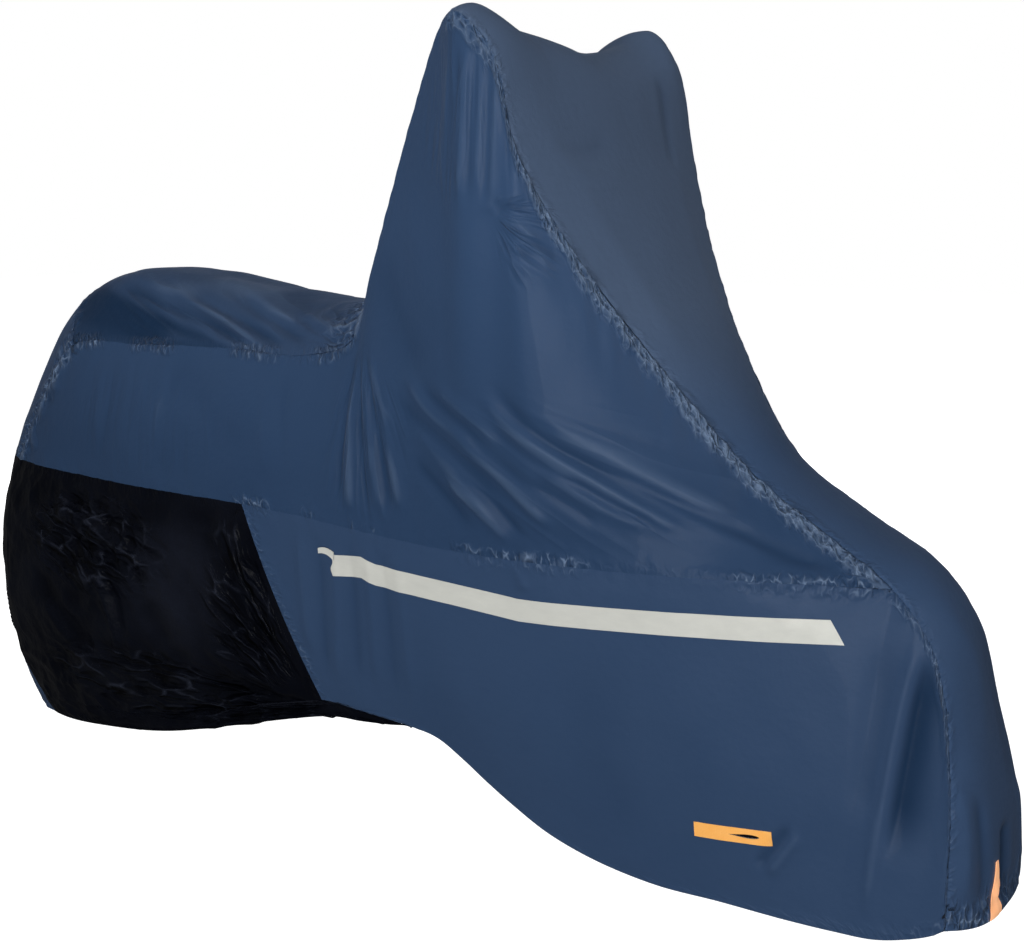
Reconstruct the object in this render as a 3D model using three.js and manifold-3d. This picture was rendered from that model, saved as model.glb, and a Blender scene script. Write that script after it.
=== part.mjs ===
// Fitted cover for a parked scooter: coated cloth panels sewn edge to edge into one hollow hood.
// Millimetres, +X towards the nose, +Z up. The tables give heights above the ground; the finished
// group is moved so that its origin lies where the handlebar carries the cloth.

import * as THREE from 'three';
import { mergeVertices } from 'three/addons/utils/BufferGeometryUtils.js';
import Module from 'manifold-3d';

const wasm = await Module();
wasm.setup();

// Cloth and sewing
const CLOTH = 2; // thickness of every panel
const SEAM_GAP = 0.4; // clearance between two panels along their seam
const TIP_GAP = 3; // how far a panel's pointed tip stays back from the corner it fills
const TRIM_GAP = 0.4; // clearance between a sewn-on trim and the panel under it
const TRIM_THICK = 1; // thickness of tape, patch and tab
const FOLD_FADE = 70; // side folds die out over this distance from the centre strip's seam
const FOLD_TAPER = 0.25; // share of a fold's length in which each of its ends dies out
const SADDLE_FADE = 0.3; // share of the half width in which saddle folds die out at the seam
const WELD = 1e-3; // points closer than this are one point
const KEY_STEPS = 50; // steps per millimetre when points are compared by place
const SECTION_STEP = 0.02; // section step over which the hem's direction is taken

// Sections of the right half, from the tail round to the nose, a row for each.
// crown: the centre strip on the middle plane; round and horn: how full its arch is and how far it
// rises at the bar ends; seam: centre strip to side; waist: side to skirt; hem: lower edge;
// sideFull and skirtFull: how far side and skirt bulge out; strips: mesh columns to the next row.
const SECTIONS = table(
  ['name', 'crownX', 'crownZ', 'round', 'horn', 'seamX', 'seamY', 'seamZ', 'waistX', 'waistY', 'waistZ',
    'hemX', 'hemY', 'hemZ', 'sideFull', 'skirtFull', 'strips'],
  [
    ['tail', -1080, 585, 2.6, 0, -978, 152, 585, -978, 152, 585, -945, 140, 87, 0, 48, 3],
    ['tail_up', -1022, 712, 2.4, 0, -899, 155, 700, -862, 190, 585, -850, 170, 94, 4, 42, 3],
    ['seat_rear', -862, 905, 2.5, 0, -790, 165, 815, -735, 208, 585, -735, 190, 108, 10, 34, 3],
    ['seat_back', -700, 949, 3.2, 0, -640, 172, 825, -590, 228, 585, -550, 205, 137, 14, 24, 5],
    ['seat_mid', -430, 922, 3.2, 0, -380, 172, 830, -318, 240, 584, -154, 220, 245, 14, 12, 3],
    ['seat_front', -255, 907, 3, 0, -220, 172, 830, -190, 245, 580, -90, 222, 250, 12, 10, 3],
    ['notch', -175, 922, 2.6, 0, -130, 174, 860, -100, 248, 574, -35, 222, 255, 12, 8, 3],
    ['back_low', -115, 1010, 2.2, 0, -90, 180, 960, -35, 250, 570, 10, 222, 260, 10, 8, 3],
    ['back_high', -10, 1165, 2, 0, -6, 195, 1165, 45, 252, 566, 60, 220, 252, 6, 8, 3],
    ['ridge_rear', 85, 1272, 1.3, 16, 95, 248, 1314, 105, 252, 564, 110, 219, 226, 4, 8, 2],
    ['ridge', 145, 1303, 1.2, 20, 155, 290, 1334, 150, 250, 563, 150, 215, 198, 4, 8, 2],
    ['ridge_front', 212, 1272, 1.3, 14, 203, 276, 1288, 205, 247, 562, 200, 209, 165, 6, 8, 3],
    ['shield_top', 270, 1130, 2, 3, 240, 264, 1145, 265, 243, 562, 255, 203, 134, 10, 8, 3],
    ['shield_mid', 330, 1005, 2, 0, 305, 208, 1000, 345, 230, 562, 330, 193, 106, 12, 8, 4],
    ['shield_low', 440, 830, 2, 0, 411, 131, 832, 450, 205, 562, 430, 184, 88, 10, 8, 3],
    ['fender_rear', 546, 700, 2, 0, 520, 85, 700, 555, 172, 562, 530, 178, 86, 6, 8, 3],
    ['fender', 658, 628, 2, 0, 630, 85, 627, 650, 135, 562, 630, 171, 82, 3, 8, 3],
    ['join', 763, 570, 2, 0, 738, 95, 560, 738, 95, 560, 700, 163, 80, 0, 8, 2],
    ['nose_top', 819, 494, 2.2, 0, 800, 98, 480, null, null, null, 755, 159, 82, 0, 6, 3],
    ['nose_mid', 849, 385, 2.6, 0, 830, 110, 360, null, null, null, 800, 155, 93, 0, 4, 3],
    ['nose_low', 881, 240, 3, 0, 846, 136, 235, null, null, null, 832, 150, 105, 0, 2, 2],
    ['nose_hem', 889, 105, 3, 0, 849, 147, 116, null, null, null, 849, 147, 116, 0, 0, 0],
  ],
);
const LAST = SECTIONS.length - 1;
const TAIL = -1; // section position of the tail's middle plane, one step behind the first row
const TAIL_STRIPS = 5;
const TAIL_HEM = new THREE.Vector3(-1000, 0, 98);
const TAIL_HEM_TURN = { middle: 80, corner: 45 }; // reach of the hem's turn round the tail
const HORN_START = 0.5; // share of the strip's half width where the bar-end rise starts
const HORN_LEAN = { right: 1.4, left: 3 }; // how far out the top of that rise lies
const HORN_TILT = 2.4; // how far the right half of the ridge stands above the left, against the rise

// Cross seams between panels, by section
const TAIL_TOP_SEAM = sectionNamed('seat_rear');
const NOTCH_SEAM = sectionNamed('notch');
const HEAT_EDGE = sectionNamed('seat_mid');
const WAIST_END = sectionNamed('join');
const CENTRE_ROWS = 10;
const SIDE_ROWS = 9;

// Lower front corner of the heat panel: a dark tongue that tapers off forwards along the hem
const TONGUE = { top: 0.92, end: sectionNamed('back_low'), curve: 0.8 };
const SKIRT_ROWS = [...evenly(0, TONGUE.top, 7), ...evenly(TONGUE.top, 1, 3).slice(1)];

// Gusset at the foot of the tail: a pointed arch between the two heat panels
const GUSSET = { top: SKIRT_ROWS[4], reach: 1.35, swell: 0.7, columns: 6 };

// Main folds of the sides in side view: a ridge has a positive height, a trough a negative one
const SIDE_FOLDS = table(['fromX', 'fromZ', 'toX', 'toZ', 'width', 'height'], [
  [110, 1280, 45, 1040, 22, 6],
  [138, 1270, 95, 1010, 20, -6],
  [168, 1280, 135, 980, 22, 7],
  [196, 1250, 178, 990, 20, -6],
  [-75, 820, -82, 590, 24, -8],
  [-48, 850, -52, 560, 24, 8],
  [-20, 830, -24, 560, 22, -7],
  [15, 860, 210, 640, 28, 9],
  [65, 850, 262, 625, 26, -8],
  [165, 820, 335, 650, 30, 8],
  [225, 830, 425, 630, 28, -7],
  [290, 775, 500, 605, 30, 9],
  [430, 690, 690, 575, 26, -6],
  [768, 430, 770, 110, 20, 9],
  [797, 450, 808, 130, 18, -10],
  [150, 470, 260, 170, 60, 6],
  [330, 470, 380, 120, 60, -5],
  [-790, 500, -551, 317, 30, 8],
  [-720, 530, -470, 400, 28, -8],
  [-415, 550, -326, 280, 30, 7],
  [-800, 271, -452, 210, 28, -7],
  [-640, 250, -390, 330, 26, 6],
]);

// Folds across the saddle in plan view; the right-hand seam is at negative Y
const SADDLE_FOLDS = table(['fromX', 'fromY', 'toX', 'toY', 'width', 'height'], [
  [-720, -20, -210, -150, 32, 6],
  [-640, 30, -160, -110, 30, -6],
  [-560, 90, -300, 140, 34, 4],
]);

// Reflective tape along each skirt: its middle line in side view
const TAPE_LINE = table(['x', 'z'], [
  [-121, 509], [-62, 514], [-33, 506], [113, 497], [227, 488], [400, 492], [676, 499],
]);
const TAPE = { width: 34, slant: 10, curlReach: 22, curlRise: 10, curlWidth: 12 };

// Lock patch low on each skirt, with its slit
const PATCH = { x: 550, z: 195, length: 113, height: 22, tilt: 0.045 };
const SLIT = { ahead: 15, length: 56, height: 8 };

// Pull tab at the front hem, a little right of the middle
const TAB = { y: -46, length: 80, top: 8, foot: 40, below: 30 };
const PRISM_DEPTH = 600; // depth of the cutters that shape trims, more than half the cover's width

const COLOURS = {
  cloth: { color: 0x34476a, roughness: 0.5, metalness: 0 },
  heat: { color: 0x14161d, roughness: 0.35, metalness: 0 },
  tape: { color: 0xc4c3bd, roughness: 0.45, metalness: 0 },
  orange: { color: 0xf2893a, roughness: 0.6, metalness: 0 },
};

function table(columns, rows) {
  return rows.map((row) => Object.fromEntries(columns.map((column, i) => [column, row[i]])));
}

function sectionNamed(name) {
  return SECTIONS.findIndex((row) => row.name === name);
}

function smoothstep(value) {
  const x = Math.min(Math.max(value, 0), 1);
  return x * x * (3 - 2 * x);
}

// Value of a table column at a fractional section
function blend(column, section) {
  const row = Math.min(Math.max(Math.floor(section), 0), LAST - 1);
  const share = Math.max(section, 0) - row;
  return SECTIONS[row][column] * (1 - share) + SECTIONS[row + 1][column] * share;
}

// Smooth curve through a list of points, read by section number
function sectionCurve(points) {
  const curve = new THREE.CatmullRomCurve3(points, false, 'centripetal');
  return (section) => curve.getPoint(section / (points.length - 1));
}

const crownAt = sectionCurve(SECTIONS.map((row) => new THREE.Vector3(row.crownX, 0, row.crownZ)));
const seamAt = sectionCurve(SECTIONS.map((row) => new THREE.Vector3(row.seamX, -row.seamY, row.seamZ)));
const hemBesideAt = sectionCurve(SECTIONS.map((row) => new THREE.Vector3(row.hemX, -row.hemY, row.hemZ)));
const waistAt = sectionCurve(
  SECTIONS.slice(0, WAIST_END + 1).map((row) => new THREE.Vector3(row.waistX, -row.waistY, row.waistZ)),
);

// The hem's turn round the tail runs on smoothly from the hem beside it
const tailHem = new THREE.CubicBezierCurve3(
  TAIL_HEM,
  TAIL_HEM.clone().add(new THREE.Vector3(0, -TAIL_HEM_TURN.middle, 0)),
  hemBesideAt(0).add(hemBesideAt(0).sub(hemBesideAt(0.1)).setLength(TAIL_HEM_TURN.corner)),
  hemBesideAt(0),
);

function hemAt(section) {
  return section < 0 ? tailHem.getPoint(section - TAIL) : hemBesideAt(section);
}

// Height of a set of folds at a point, each fold a soft ridge along a line with tapering ends
function foldHeight(folds, across, up, fromKey, toKey) {
  let height = 0;
  for (const fold of folds) {
    const alongX = fold.toX - fold.fromX;
    const alongUp = fold[toKey] - fold[fromKey];
    const length = Math.hypot(alongX, alongUp);
    const dx = across - fold.fromX;
    const dUp = up - fold[fromKey];
    const share = (dx * alongX + dUp * alongUp) / length / length;
    const aside = (dx * alongUp - dUp * alongX) / length;
    const ends = smoothstep(share / FOLD_TAPER + 0.5) * smoothstep((1 - share) / FOLD_TAPER + 0.5);
    height += fold.height * ends * Math.exp(-((aside / fold.width) ** 2));
  }
  return height;
}

// Centre strip: side runs from -1 at the left seam over the crown to 1 at the right seam
function centreStrip(section, side) {
  const crown = crownAt(section);
  const seam = seamAt(section);
  const out = Math.abs(side);
  const point = crown.lerp(seam, out ** blend('round', section));
  point.y = seam.y * side;
  const rise = Math.max(out - HORN_START, 0) / (1 - HORN_START);
  const tilt = HORN_TILT * side * (1 - out) ** 2;
  const lean = side < 0 ? HORN_LEAN.left : HORN_LEAN.right;
  point.z += blend('horn', section) * (Math.sin(Math.PI * rise ** lean) + tilt);
  if (section > TAIL_TOP_SEAM && section < NOTCH_SEAM) {
    const ends = smoothstep((section - TAIL_TOP_SEAM) * 2) * smoothstep((NOTCH_SEAM - section) * 2);
    const fade = smoothstep((1 - out) / SADDLE_FADE) * ends;
    point.z += fade * foldHeight(SADDLE_FOLDS, point.x, point.y, 'fromY', 'toY');
  }
  return point;
}

// Folds of the right side, dying out towards the centre strip's edge
function addSideFolds(point, stripEdge) {
  const fade = smoothstep(point.distanceTo(stripEdge) / FOLD_FADE);
  point.y -= fade * foldHeight(SIDE_FOLDS, point.x, point.z, 'fromZ', 'toZ');
  return point;
}

// Upper side: down runs from 0 at the seam to 1 at the waist
function upperSide(section, down) {
  const seam = seamAt(section);
  const point = seam.clone().lerp(waistAt(section), down);
  point.y -= blend('sideFull', section) * 4 * down * (1 - down);
  return addSideFolds(point, seam);
}

// Upper edge of the skirt: round the tail, along the waist and down the nose
function skirtTop(section) {
  if (section < 0) return centreStrip(0, section - TAIL);
  return section < WAIST_END ? waistAt(section) : seamAt(section);
}

// Skirt and heat panel: down runs from 0 at their upper edge to 1 at the hem
function skirt(section, down) {
  const top = skirtTop(section);
  const next = hemAt(Math.min(section + SECTION_STEP, LAST));
  const ahead = next.sub(hemAt(Math.max(section - SECTION_STEP, TAIL)));
  const outward = new THREE.Vector3(ahead.y, -ahead.x, 0).normalize();
  const point = top.clone().lerp(hemAt(section), down);
  point.addScaledVector(outward, blend('skirtFull', section) * 4 * down * (1 - down));
  return addSideFolds(point, section < 0 ? top : seamAt(section));
}

// Section positions of the mesh columns between two sections
function columnsBetween(first, last) {
  const columns = first < 0 ? evenly(TAIL, 0, TAIL_STRIPS).slice(0, -1) : [];
  for (let row = Math.max(first, 0); row < last; row += 1) {
    columns.push(...evenly(row, row + 1, SECTIONS[row].strips).slice(0, -1));
  }
  return [...columns, last];
}

function evenly(from, to, steps) {
  return Array.from({ length: steps + 1 }, (_, i) => from + ((to - from) * i) / steps);
}

// Where the heat panel starts at a given height: the middle plane, or the gusset's edge
function gussetEdge(down) {
  const share = Math.max(down - GUSSET.top, 0) / (1 - GUSSET.top);
  return TAIL + GUSSET.reach * share ** GUSSET.swell;
}

// Where the heat panel ends and the skirt starts at a given height
function heatEdge(down) {
  const share = Math.max(down - TONGUE.top, 0) / (1 - TONGUE.top);
  return HEAT_EDGE + (TONGUE.end - HEAT_EDGE) * share ** TONGUE.curve;
}

// A grid holds the outer points of a panel, column by column from tail to nose
function gridOf(columns, rows, pointAt) {
  return columns.map((column) => rows.map((row) => pointAt(column, row)));
}

function centreGrid(first, last) {
  return gridOf(columnsBetween(first, last), evenly(-1, 1, CENTRE_ROWS), centreStrip);
}

// Grid of a lower panel whose first and last edges slide along the cover with height
function lowerGrid(first, last, firstEdge, lastEdge) {
  const share = (column) => (column - first) / (last - first);
  const slide = (column, down) => firstEdge(down) + (lastEdge(down) - firstEdge(down)) * share(column);
  return gridOf(columnsBetween(first, last), SKIRT_ROWS, (column, down) => skirt(slide(column, down), down));
}

function gussetGrid() {
  const rows = SKIRT_ROWS.filter((down) => down >= GUSSET.top);
  return gridOf(rows, evenly(1, -1, GUSSET.columns), (down, side) => {
    const point = skirt(TAIL + (gussetEdge(down) - TAIL) * Math.abs(side), down);
    if (side < 0) point.y = -point.y;
    return point;
  });
}

function mirroredGrid(grid) {
  const flip = (point) => new THREE.Vector3(point.x, -point.y, point.z);
  return grid.map((column) => column.map(flip).reverse());
}

// Two triangles for a grid cell, facing out of the cover, split in mirror image on its left half
function cellTriangles(grid, i, j) {
  const [a, b, c, d] = [[i, j], [i, j + 1], [i + 1, j + 1], [i + 1, j]];
  const onLeft = grid[i][j].y + grid[i + 1][j + 1].y > 0;
  return onLeft ? [[a, b, c], [a, c, d]] : [[a, b, d], [d, b, c]];
}

function eachTriangle(grid, visit) {
  for (let i = 0; i + 1 < grid.length; i += 1) {
    for (let j = 0; j + 1 < grid[0].length; j += 1) cellTriangles(grid, i, j).forEach(visit);
  }
}

const placeKey = (point) => point.toArray().map((value) => Math.round(value * KEY_STEPS)).join();

// Outward direction of one panel at each of its points
function panelNormals(grid) {
  const sums = new Map();
  eachTriangle(grid, (corners) => {
    const [a, b, c] = corners.map(([i, j]) => grid[i][j]);
    const normal = b.clone().sub(a).cross(c.clone().sub(a));
    for (const corner of [a, b, c]) {
      const key = placeKey(corner);
      sums.set(key, (sums.get(key) ?? new THREE.Vector3()).add(normal));
    }
  });
  return sums;
}

// Outward directions, halved between the panels that meet at a point so that their edges are mitred
function sharedNormals(grids) {
  const shared = new Map();
  for (const grid of grids) {
    for (const [key, normal] of panelNormals(grid)) {
      shared.set(key, (shared.get(key) ?? new THREE.Vector3()).add(normal.normalize()));
    }
  }
  return (point) => shared.get(placeKey(point)).clone().normalize();
}

function raisedGrid(grid, normalAt, height) {
  return grid.map((column) => column.map((point) => point.clone().addScaledVector(normalAt(point), height)));
}

// Moves an edge point into its panel, square to the edge that its two neighbours give
function stepInside(point, inside, before, after, distance) {
  const edge = after.clone().sub(before).normalize();
  const inward = inside.clone().sub(point);
  inward.addScaledVector(edge, -inward.dot(edge));
  return point.clone().add(inward.setLength(distance));
}

// Draws each edge of a grid back from its seam, and a pointed tip back along the panel
function drawnBack(grid) {
  const last = grid.length - 1;
  const foot = grid[0].length - 1;
  const middle = Math.floor(foot / 2);
  const isTip = (column) => column[0].distanceTo(column[foot]) < SEAM_GAP;
  const result = grid.map((column) => column.map((point) => point.clone()));
  for (const [end, beside] of [[0, 1], [last, last - 1]]) {
    const column = grid[end];
    result[end] = column.map((point, j) => {
      if (isTip(column)) return point.clone().add(grid[beside][middle].clone().sub(point).setLength(TIP_GAP));
      const [before, after] = [column[Math.max(j - 1, 0)], column[Math.min(j + 1, foot)]];
      return stepInside(point, grid[beside][j], before, after, SEAM_GAP / 2);
    });
  }
  for (const [edge, beside] of [[0, 1], [foot, foot - 1]]) {
    const row = result.map((column) => column[edge]);
    for (const [i, column] of result.entries()) {
      if (isTip(grid[i])) continue;
      const [before, after] = [row[Math.max(i - 1, 0)], row[Math.min(i + 1, last)]];
      column[edge] = stepInside(row[i], column[beside], before, after, SEAM_GAP / 2);
    }
  }
  return result;
}

// Closed sheet between an outer and an inner grid. Its rim is split the same way on both sides of a
// seam, so that two twisted edges still lie face to face.
function closedSheet(outer, inner) {
  const columns = outer.length;
  const rows = outer[0].length;
  const positions = [...outer, ...inner].flat().flatMap((point) => point.toArray());
  const outerAt = ([i, j]) => i * rows + j;
  const innerAt = (corner) => columns * rows + outerAt(corner);
  const index = [];
  eachTriangle(outer, ([a, b, c]) => {
    index.push(outerAt(a), outerAt(b), outerAt(c), innerAt(a), innerAt(c), innerAt(b));
  });
  const rim = [
    ...outer.map((_, i) => [i, 0]),
    ...outer[0].map((_, j) => [columns - 1, j]).slice(1),
    ...outer.map((_, i) => [columns - 1 - i, rows - 1]).slice(1),
    ...outer[0].map((_, j) => [0, rows - 1 - j]).slice(1),
  ];
  const reach = ([i, j]) => outer[i][j].x + outer[i][j].z;
  rim.slice(1).forEach((b, k) => {
    const a = rim[k];
    const [inA, inB] = [innerAt(a), innerAt(b)];
    if (reach(a) > reach(b)) index.push(outerAt(a), outerAt(b), inB, outerAt(a), inB, inA);
    else index.push(outerAt(a), outerAt(b), inA, outerAt(b), inB, inA);
  });
  return weldedGeometry(positions, index);
}

// Geometry with coincident points merged and the flat triangles that this leaves removed
function weldedGeometry(positions, index) {
  const loose = new THREE.BufferGeometry();
  loose.setAttribute('position', new THREE.Float32BufferAttribute(positions, 3));
  loose.setIndex(index);
  const welded = mergeVertices(loose, WELD);
  const kept = [];
  const corners = welded.index.array;
  for (let k = 0; k < corners.length; k += 3) {
    const [a, b, c] = corners.slice(k, k + 3);
    if (a !== b && b !== c && c !== a) kept.push(a, b, c);
  }
  welded.setIndex(kept);
  return welded;
}

function panelSolid(grid, normalAt) {
  return closedSheet(drawnBack(grid), drawnBack(raisedGrid(grid, normalAt, -CLOTH)));
}

// Layer that lies a little above a panel, from which its trims are cut
function trimLayer(grid, normalAt) {
  return closedSheet(
    raisedGrid(grid, normalAt, TRIM_GAP + TRIM_THICK),
    raisedGrid(grid, normalAt, TRIM_GAP),
  );
}

function solidOf(geometry) {
  const bare = geometry.clone();
  bare.deleteAttribute('normal');
  bare.deleteAttribute('uv');
  const welded = mergeVertices(bare, WELD);
  const mesh = new wasm.Mesh({
    numProp: 3,
    vertProperties: new Float32Array(welded.attributes.position.array),
    triVerts: new Uint32Array(welded.index.array),
  });
  mesh.merge();
  return new wasm.Manifold(mesh);
}

function geometryOf(solid) {
  const mesh = solid.getMesh();
  return weldedGeometry(Array.from(mesh.vertProperties), Array.from(mesh.triVerts));
}

function mirroredGeometry(geometry) {
  const mirrored = geometry.clone().scale(1, -1, 1);
  const corners = Array.from(mirrored.index.array);
  for (let k = 0; k < corners.length; k += 3) {
    [corners[k], corners[k + 1]] = [corners[k + 1], corners[k]];
  }
  mirrored.setIndex(corners);
  return mirrored;
}

// Cutter from a side-view outline, through the right half of the cover
function sidePrism(shape) {
  const prism = new THREE.ExtrudeGeometry(shape, { depth: PRISM_DEPTH, bevelEnabled: false });
  return solidOf(prism.rotateX(Math.PI / 2));
}

// Cutter from a front-view outline, through the nose
function frontPrism(shape) {
  const prism = new THREE.ExtrudeGeometry(shape, { depth: 2 * PRISM_DEPTH, bevelEnabled: false });
  const axes = [new THREE.Vector3(0, 1, 0), new THREE.Vector3(0, 0, 1), new THREE.Vector3(1, 0, 0)];
  return solidOf(prism.applyMatrix4(new THREE.Matrix4().makeBasis(...axes)));
}

// Tape outline: a band along its middle line, slanted in front, with a curled-up corner behind
function tapeShape() {
  const half = TAPE.width / 2;
  const rear = TAPE_LINE[0];
  const front = TAPE_LINE[TAPE_LINE.length - 1];
  const inner = TAPE_LINE.slice(0, -1);
  const points = [
    ...inner.map(({ x, z }) => [x, z - half]),
    [front.x + TAPE.slant, front.z - half],
    [front.x - TAPE.slant, front.z + half],
    ...inner.map(({ x, z }) => [x, z + half]).reverse(),
    [rear.x, rear.z + half + TAPE.curlRise],
    [rear.x - TAPE.curlReach, rear.z + half + TAPE.curlRise / 2],
    [rear.x - TAPE.curlReach, rear.z + half + TAPE.curlRise / 2 - TAPE.curlWidth],
    [rear.x, rear.z + half - TAPE.curlWidth],
  ];
  return new THREE.Shape(points.map(([x, z]) => new THREE.Vector2(x, z)));
}

function tiltedPoint(along, up) {
  const turned = new THREE.Vector2(along, up).rotateAround(new THREE.Vector2(), PATCH.tilt);
  return turned.add(new THREE.Vector2(PATCH.x, PATCH.z));
}

function patchShape() {
  const [half, rise] = [PATCH.length / 2, PATCH.height / 2];
  const corners = [[-half, -rise], [half, -rise], [half, rise], [-half, rise]];
  return new THREE.Shape(corners.map(([along, up]) => tiltedPoint(along, up)));
}

// Slit outline: two shallow arcs that meet in points
function slitShape() {
  const rear = tiltedPoint(SLIT.ahead - SLIT.length / 2, 0);
  const front = tiltedPoint(SLIT.ahead + SLIT.length / 2, 0);
  const below = tiltedPoint(SLIT.ahead, -SLIT.height);
  const above = tiltedPoint(SLIT.ahead, SLIT.height);
  const shape = new THREE.Shape();
  shape.moveTo(rear.x, rear.y);
  shape.quadraticCurveTo(below.x, below.y, front.x, front.y);
  shape.quadraticCurveTo(above.x, above.y, rear.x, rear.y);
  return shape;
}

function tabShape() {
  const hem = SECTIONS[LAST].crownZ;
  const corners = [
    [-TAB.foot / 2, hem - TAB.below],
    [TAB.foot / 2, hem - TAB.below],
    [TAB.foot / 2, hem],
    [TAB.top / 2, hem + TAB.length],
    [-TAB.top / 2, hem + TAB.length],
    [-TAB.foot / 2, hem],
  ];
  return new THREE.Shape(corners.map(([y, z]) => new THREE.Vector2(TAB.y + y, z)));
}

function addMesh(group, name, geometry, finish) {
  const mesh = new THREE.Mesh(geometry, new THREE.MeshStandardMaterial(COLOURS[finish]));
  mesh.name = name;
  group.add(mesh);
}

// A piece on the right and its mirror image on the left
function addPair(group, name, geometry, finish) {
  addMesh(group, `${name}_right`, geometry, finish);
  addMesh(group, `${name}_left`, mirroredGeometry(geometry), finish);
}

const grids = {
  front: centreGrid(NOTCH_SEAM, LAST),
  saddle: centreGrid(TAIL_TOP_SEAM, NOTCH_SEAM),
  tail: centreGrid(0, TAIL_TOP_SEAM),
  side: gridOf(columnsBetween(0, WAIST_END), evenly(0, 1, SIDE_ROWS), upperSide),
  skirt: lowerGrid(HEAT_EDGE, LAST, heatEdge, () => LAST),
  heat: lowerGrid(TAIL, HEAT_EDGE, gussetEdge, heatEdge),
  gusset: gussetGrid(),
};
const leftGrids = [grids.side, grids.skirt, grids.heat].map(mirroredGrid);
const normalAt = sharedNormals([...Object.values(grids), ...leftGrids]);

const slit = sidePrism(slitShape());
const skirtLayer = solidOf(trimLayer(grids.skirt, normalAt));
const frontLayer = solidOf(trimLayer(grids.front, normalAt));
const slitSkirt = solidOf(panelSolid(grids.skirt, normalAt)).subtract(slit);

const centre = new THREE.Group();
addMesh(centre, 'front_panel', panelSolid(grids.front, normalAt), 'cloth');
addMesh(centre, 'saddle_panel', panelSolid(grids.saddle, normalAt), 'cloth');
addMesh(centre, 'tail_panel', panelSolid(grids.tail, normalAt), 'cloth');
addMesh(centre, 'tail_gusset', panelSolid(grids.gusset, normalAt), 'cloth');
addMesh(centre, 'front_tab', geometryOf(frontLayer.intersect(frontPrism(tabShape()))), 'orange');

const sides = new THREE.Group();
addPair(sides, 'upper_side', panelSolid(grids.side, normalAt), 'cloth');
addPair(sides, 'skirt', geometryOf(slitSkirt), 'cloth');
addPair(sides, 'heat_panel', panelSolid(grids.heat, normalAt), 'heat');
addPair(sides, 'reflective_tape', geometryOf(skirtLayer.intersect(sidePrism(tapeShape()))), 'tape');
const patch = skirtLayer.intersect(sidePrism(patchShape())).subtract(slit);
addPair(sides, 'lock_patch', geometryOf(patch), 'orange');

// The origin goes to the underside of the cloth over the middle of the handlebar
const rest = SECTIONS[sectionNamed('ridge')];
const cover = new THREE.Group();
cover.add(centre, sides);
cover.position.set(-rest.crownX, 0, CLOTH - rest.crownZ);

export default cover;
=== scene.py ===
"""Looks of a fitted scooter cover: draped cloth panels, sewn trims, floor, light and camera.

Shapes are worked out in millimetres above the ground, +X towards the nose and +Y to the left.
The finished meshes are in metres, in the row's own frame.
"""

import itertools
import logging
import math
from abc import ABC, abstractmethod
from collections.abc import Callable, Sequence
from dataclasses import dataclass
from enum import Enum
from typing import Any

import bmesh
import bpy
import numpy as np
from bpy.types import ID, Material, Mesh, NodeSocket, Object, World
from mathutils import Euler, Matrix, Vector
from mathutils.bvhtree import BVHTree


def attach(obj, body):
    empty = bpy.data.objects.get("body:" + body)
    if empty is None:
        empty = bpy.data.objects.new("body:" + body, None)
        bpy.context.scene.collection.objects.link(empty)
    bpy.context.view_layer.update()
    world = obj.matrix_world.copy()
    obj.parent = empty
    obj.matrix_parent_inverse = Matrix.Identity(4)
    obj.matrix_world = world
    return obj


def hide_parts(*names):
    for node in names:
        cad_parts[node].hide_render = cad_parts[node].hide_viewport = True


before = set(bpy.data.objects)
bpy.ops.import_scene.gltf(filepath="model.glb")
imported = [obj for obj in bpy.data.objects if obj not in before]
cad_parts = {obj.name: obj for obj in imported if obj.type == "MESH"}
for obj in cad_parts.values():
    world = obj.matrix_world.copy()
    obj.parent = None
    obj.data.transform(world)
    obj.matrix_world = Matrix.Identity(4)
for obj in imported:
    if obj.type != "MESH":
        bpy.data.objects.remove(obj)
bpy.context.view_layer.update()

LOG = logging.getLogger("cover")
MM = 0.001
ROW_ORIGIN = np.array([145.0, 0.0, 1301.0])  # place of the row's origin above the ground
FOLD_ANGLE = 1.1  # turn between faces, in radians, that reads as a folded edge
FINE_STEPS = 1500  # samples on which lengths along the cover are measured
ADDED_STEP = 0.02  # length, in millimetres, added between samples so that none coincide
LEFT_FINENESS = 0.7  # columns and rows of a left panel, as a share of the right one's
WHITE = (1, 1, 1, 1)
Array = np.ndarray
Pairs = tuple[tuple[float, float], ...]
Line = Callable[[Array], Array]
Place = tuple[float, float, float]
Colour = tuple[float, float, float]
Marks = dict[str, Array]  # values carried by a panel's points for its finish, by name


class Side(Enum):
    """Half of the cover that a piece belongs to."""

    RIGHT = "right"
    LEFT = "left"

    @property
    def outward(self) -> int:
        """Sign of Y on this half."""
        return -1 if self is Side.RIGHT else 1


class Edge(Enum):
    """Edge of a panel's grid; columns run from tail to nose and rows from top to hem."""

    FIRST_ROW = "first row"
    LAST_ROW = "last row"
    FIRST_COLUMN = "first column"
    LAST_COLUMN = "last column"


def smoothstep(value: Array) -> Array:
    """Soft step from 0 to 1."""
    x = np.clip(value, 0.0, 1.0)
    return x * x * (3.0 - 2.0 * x)


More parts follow.
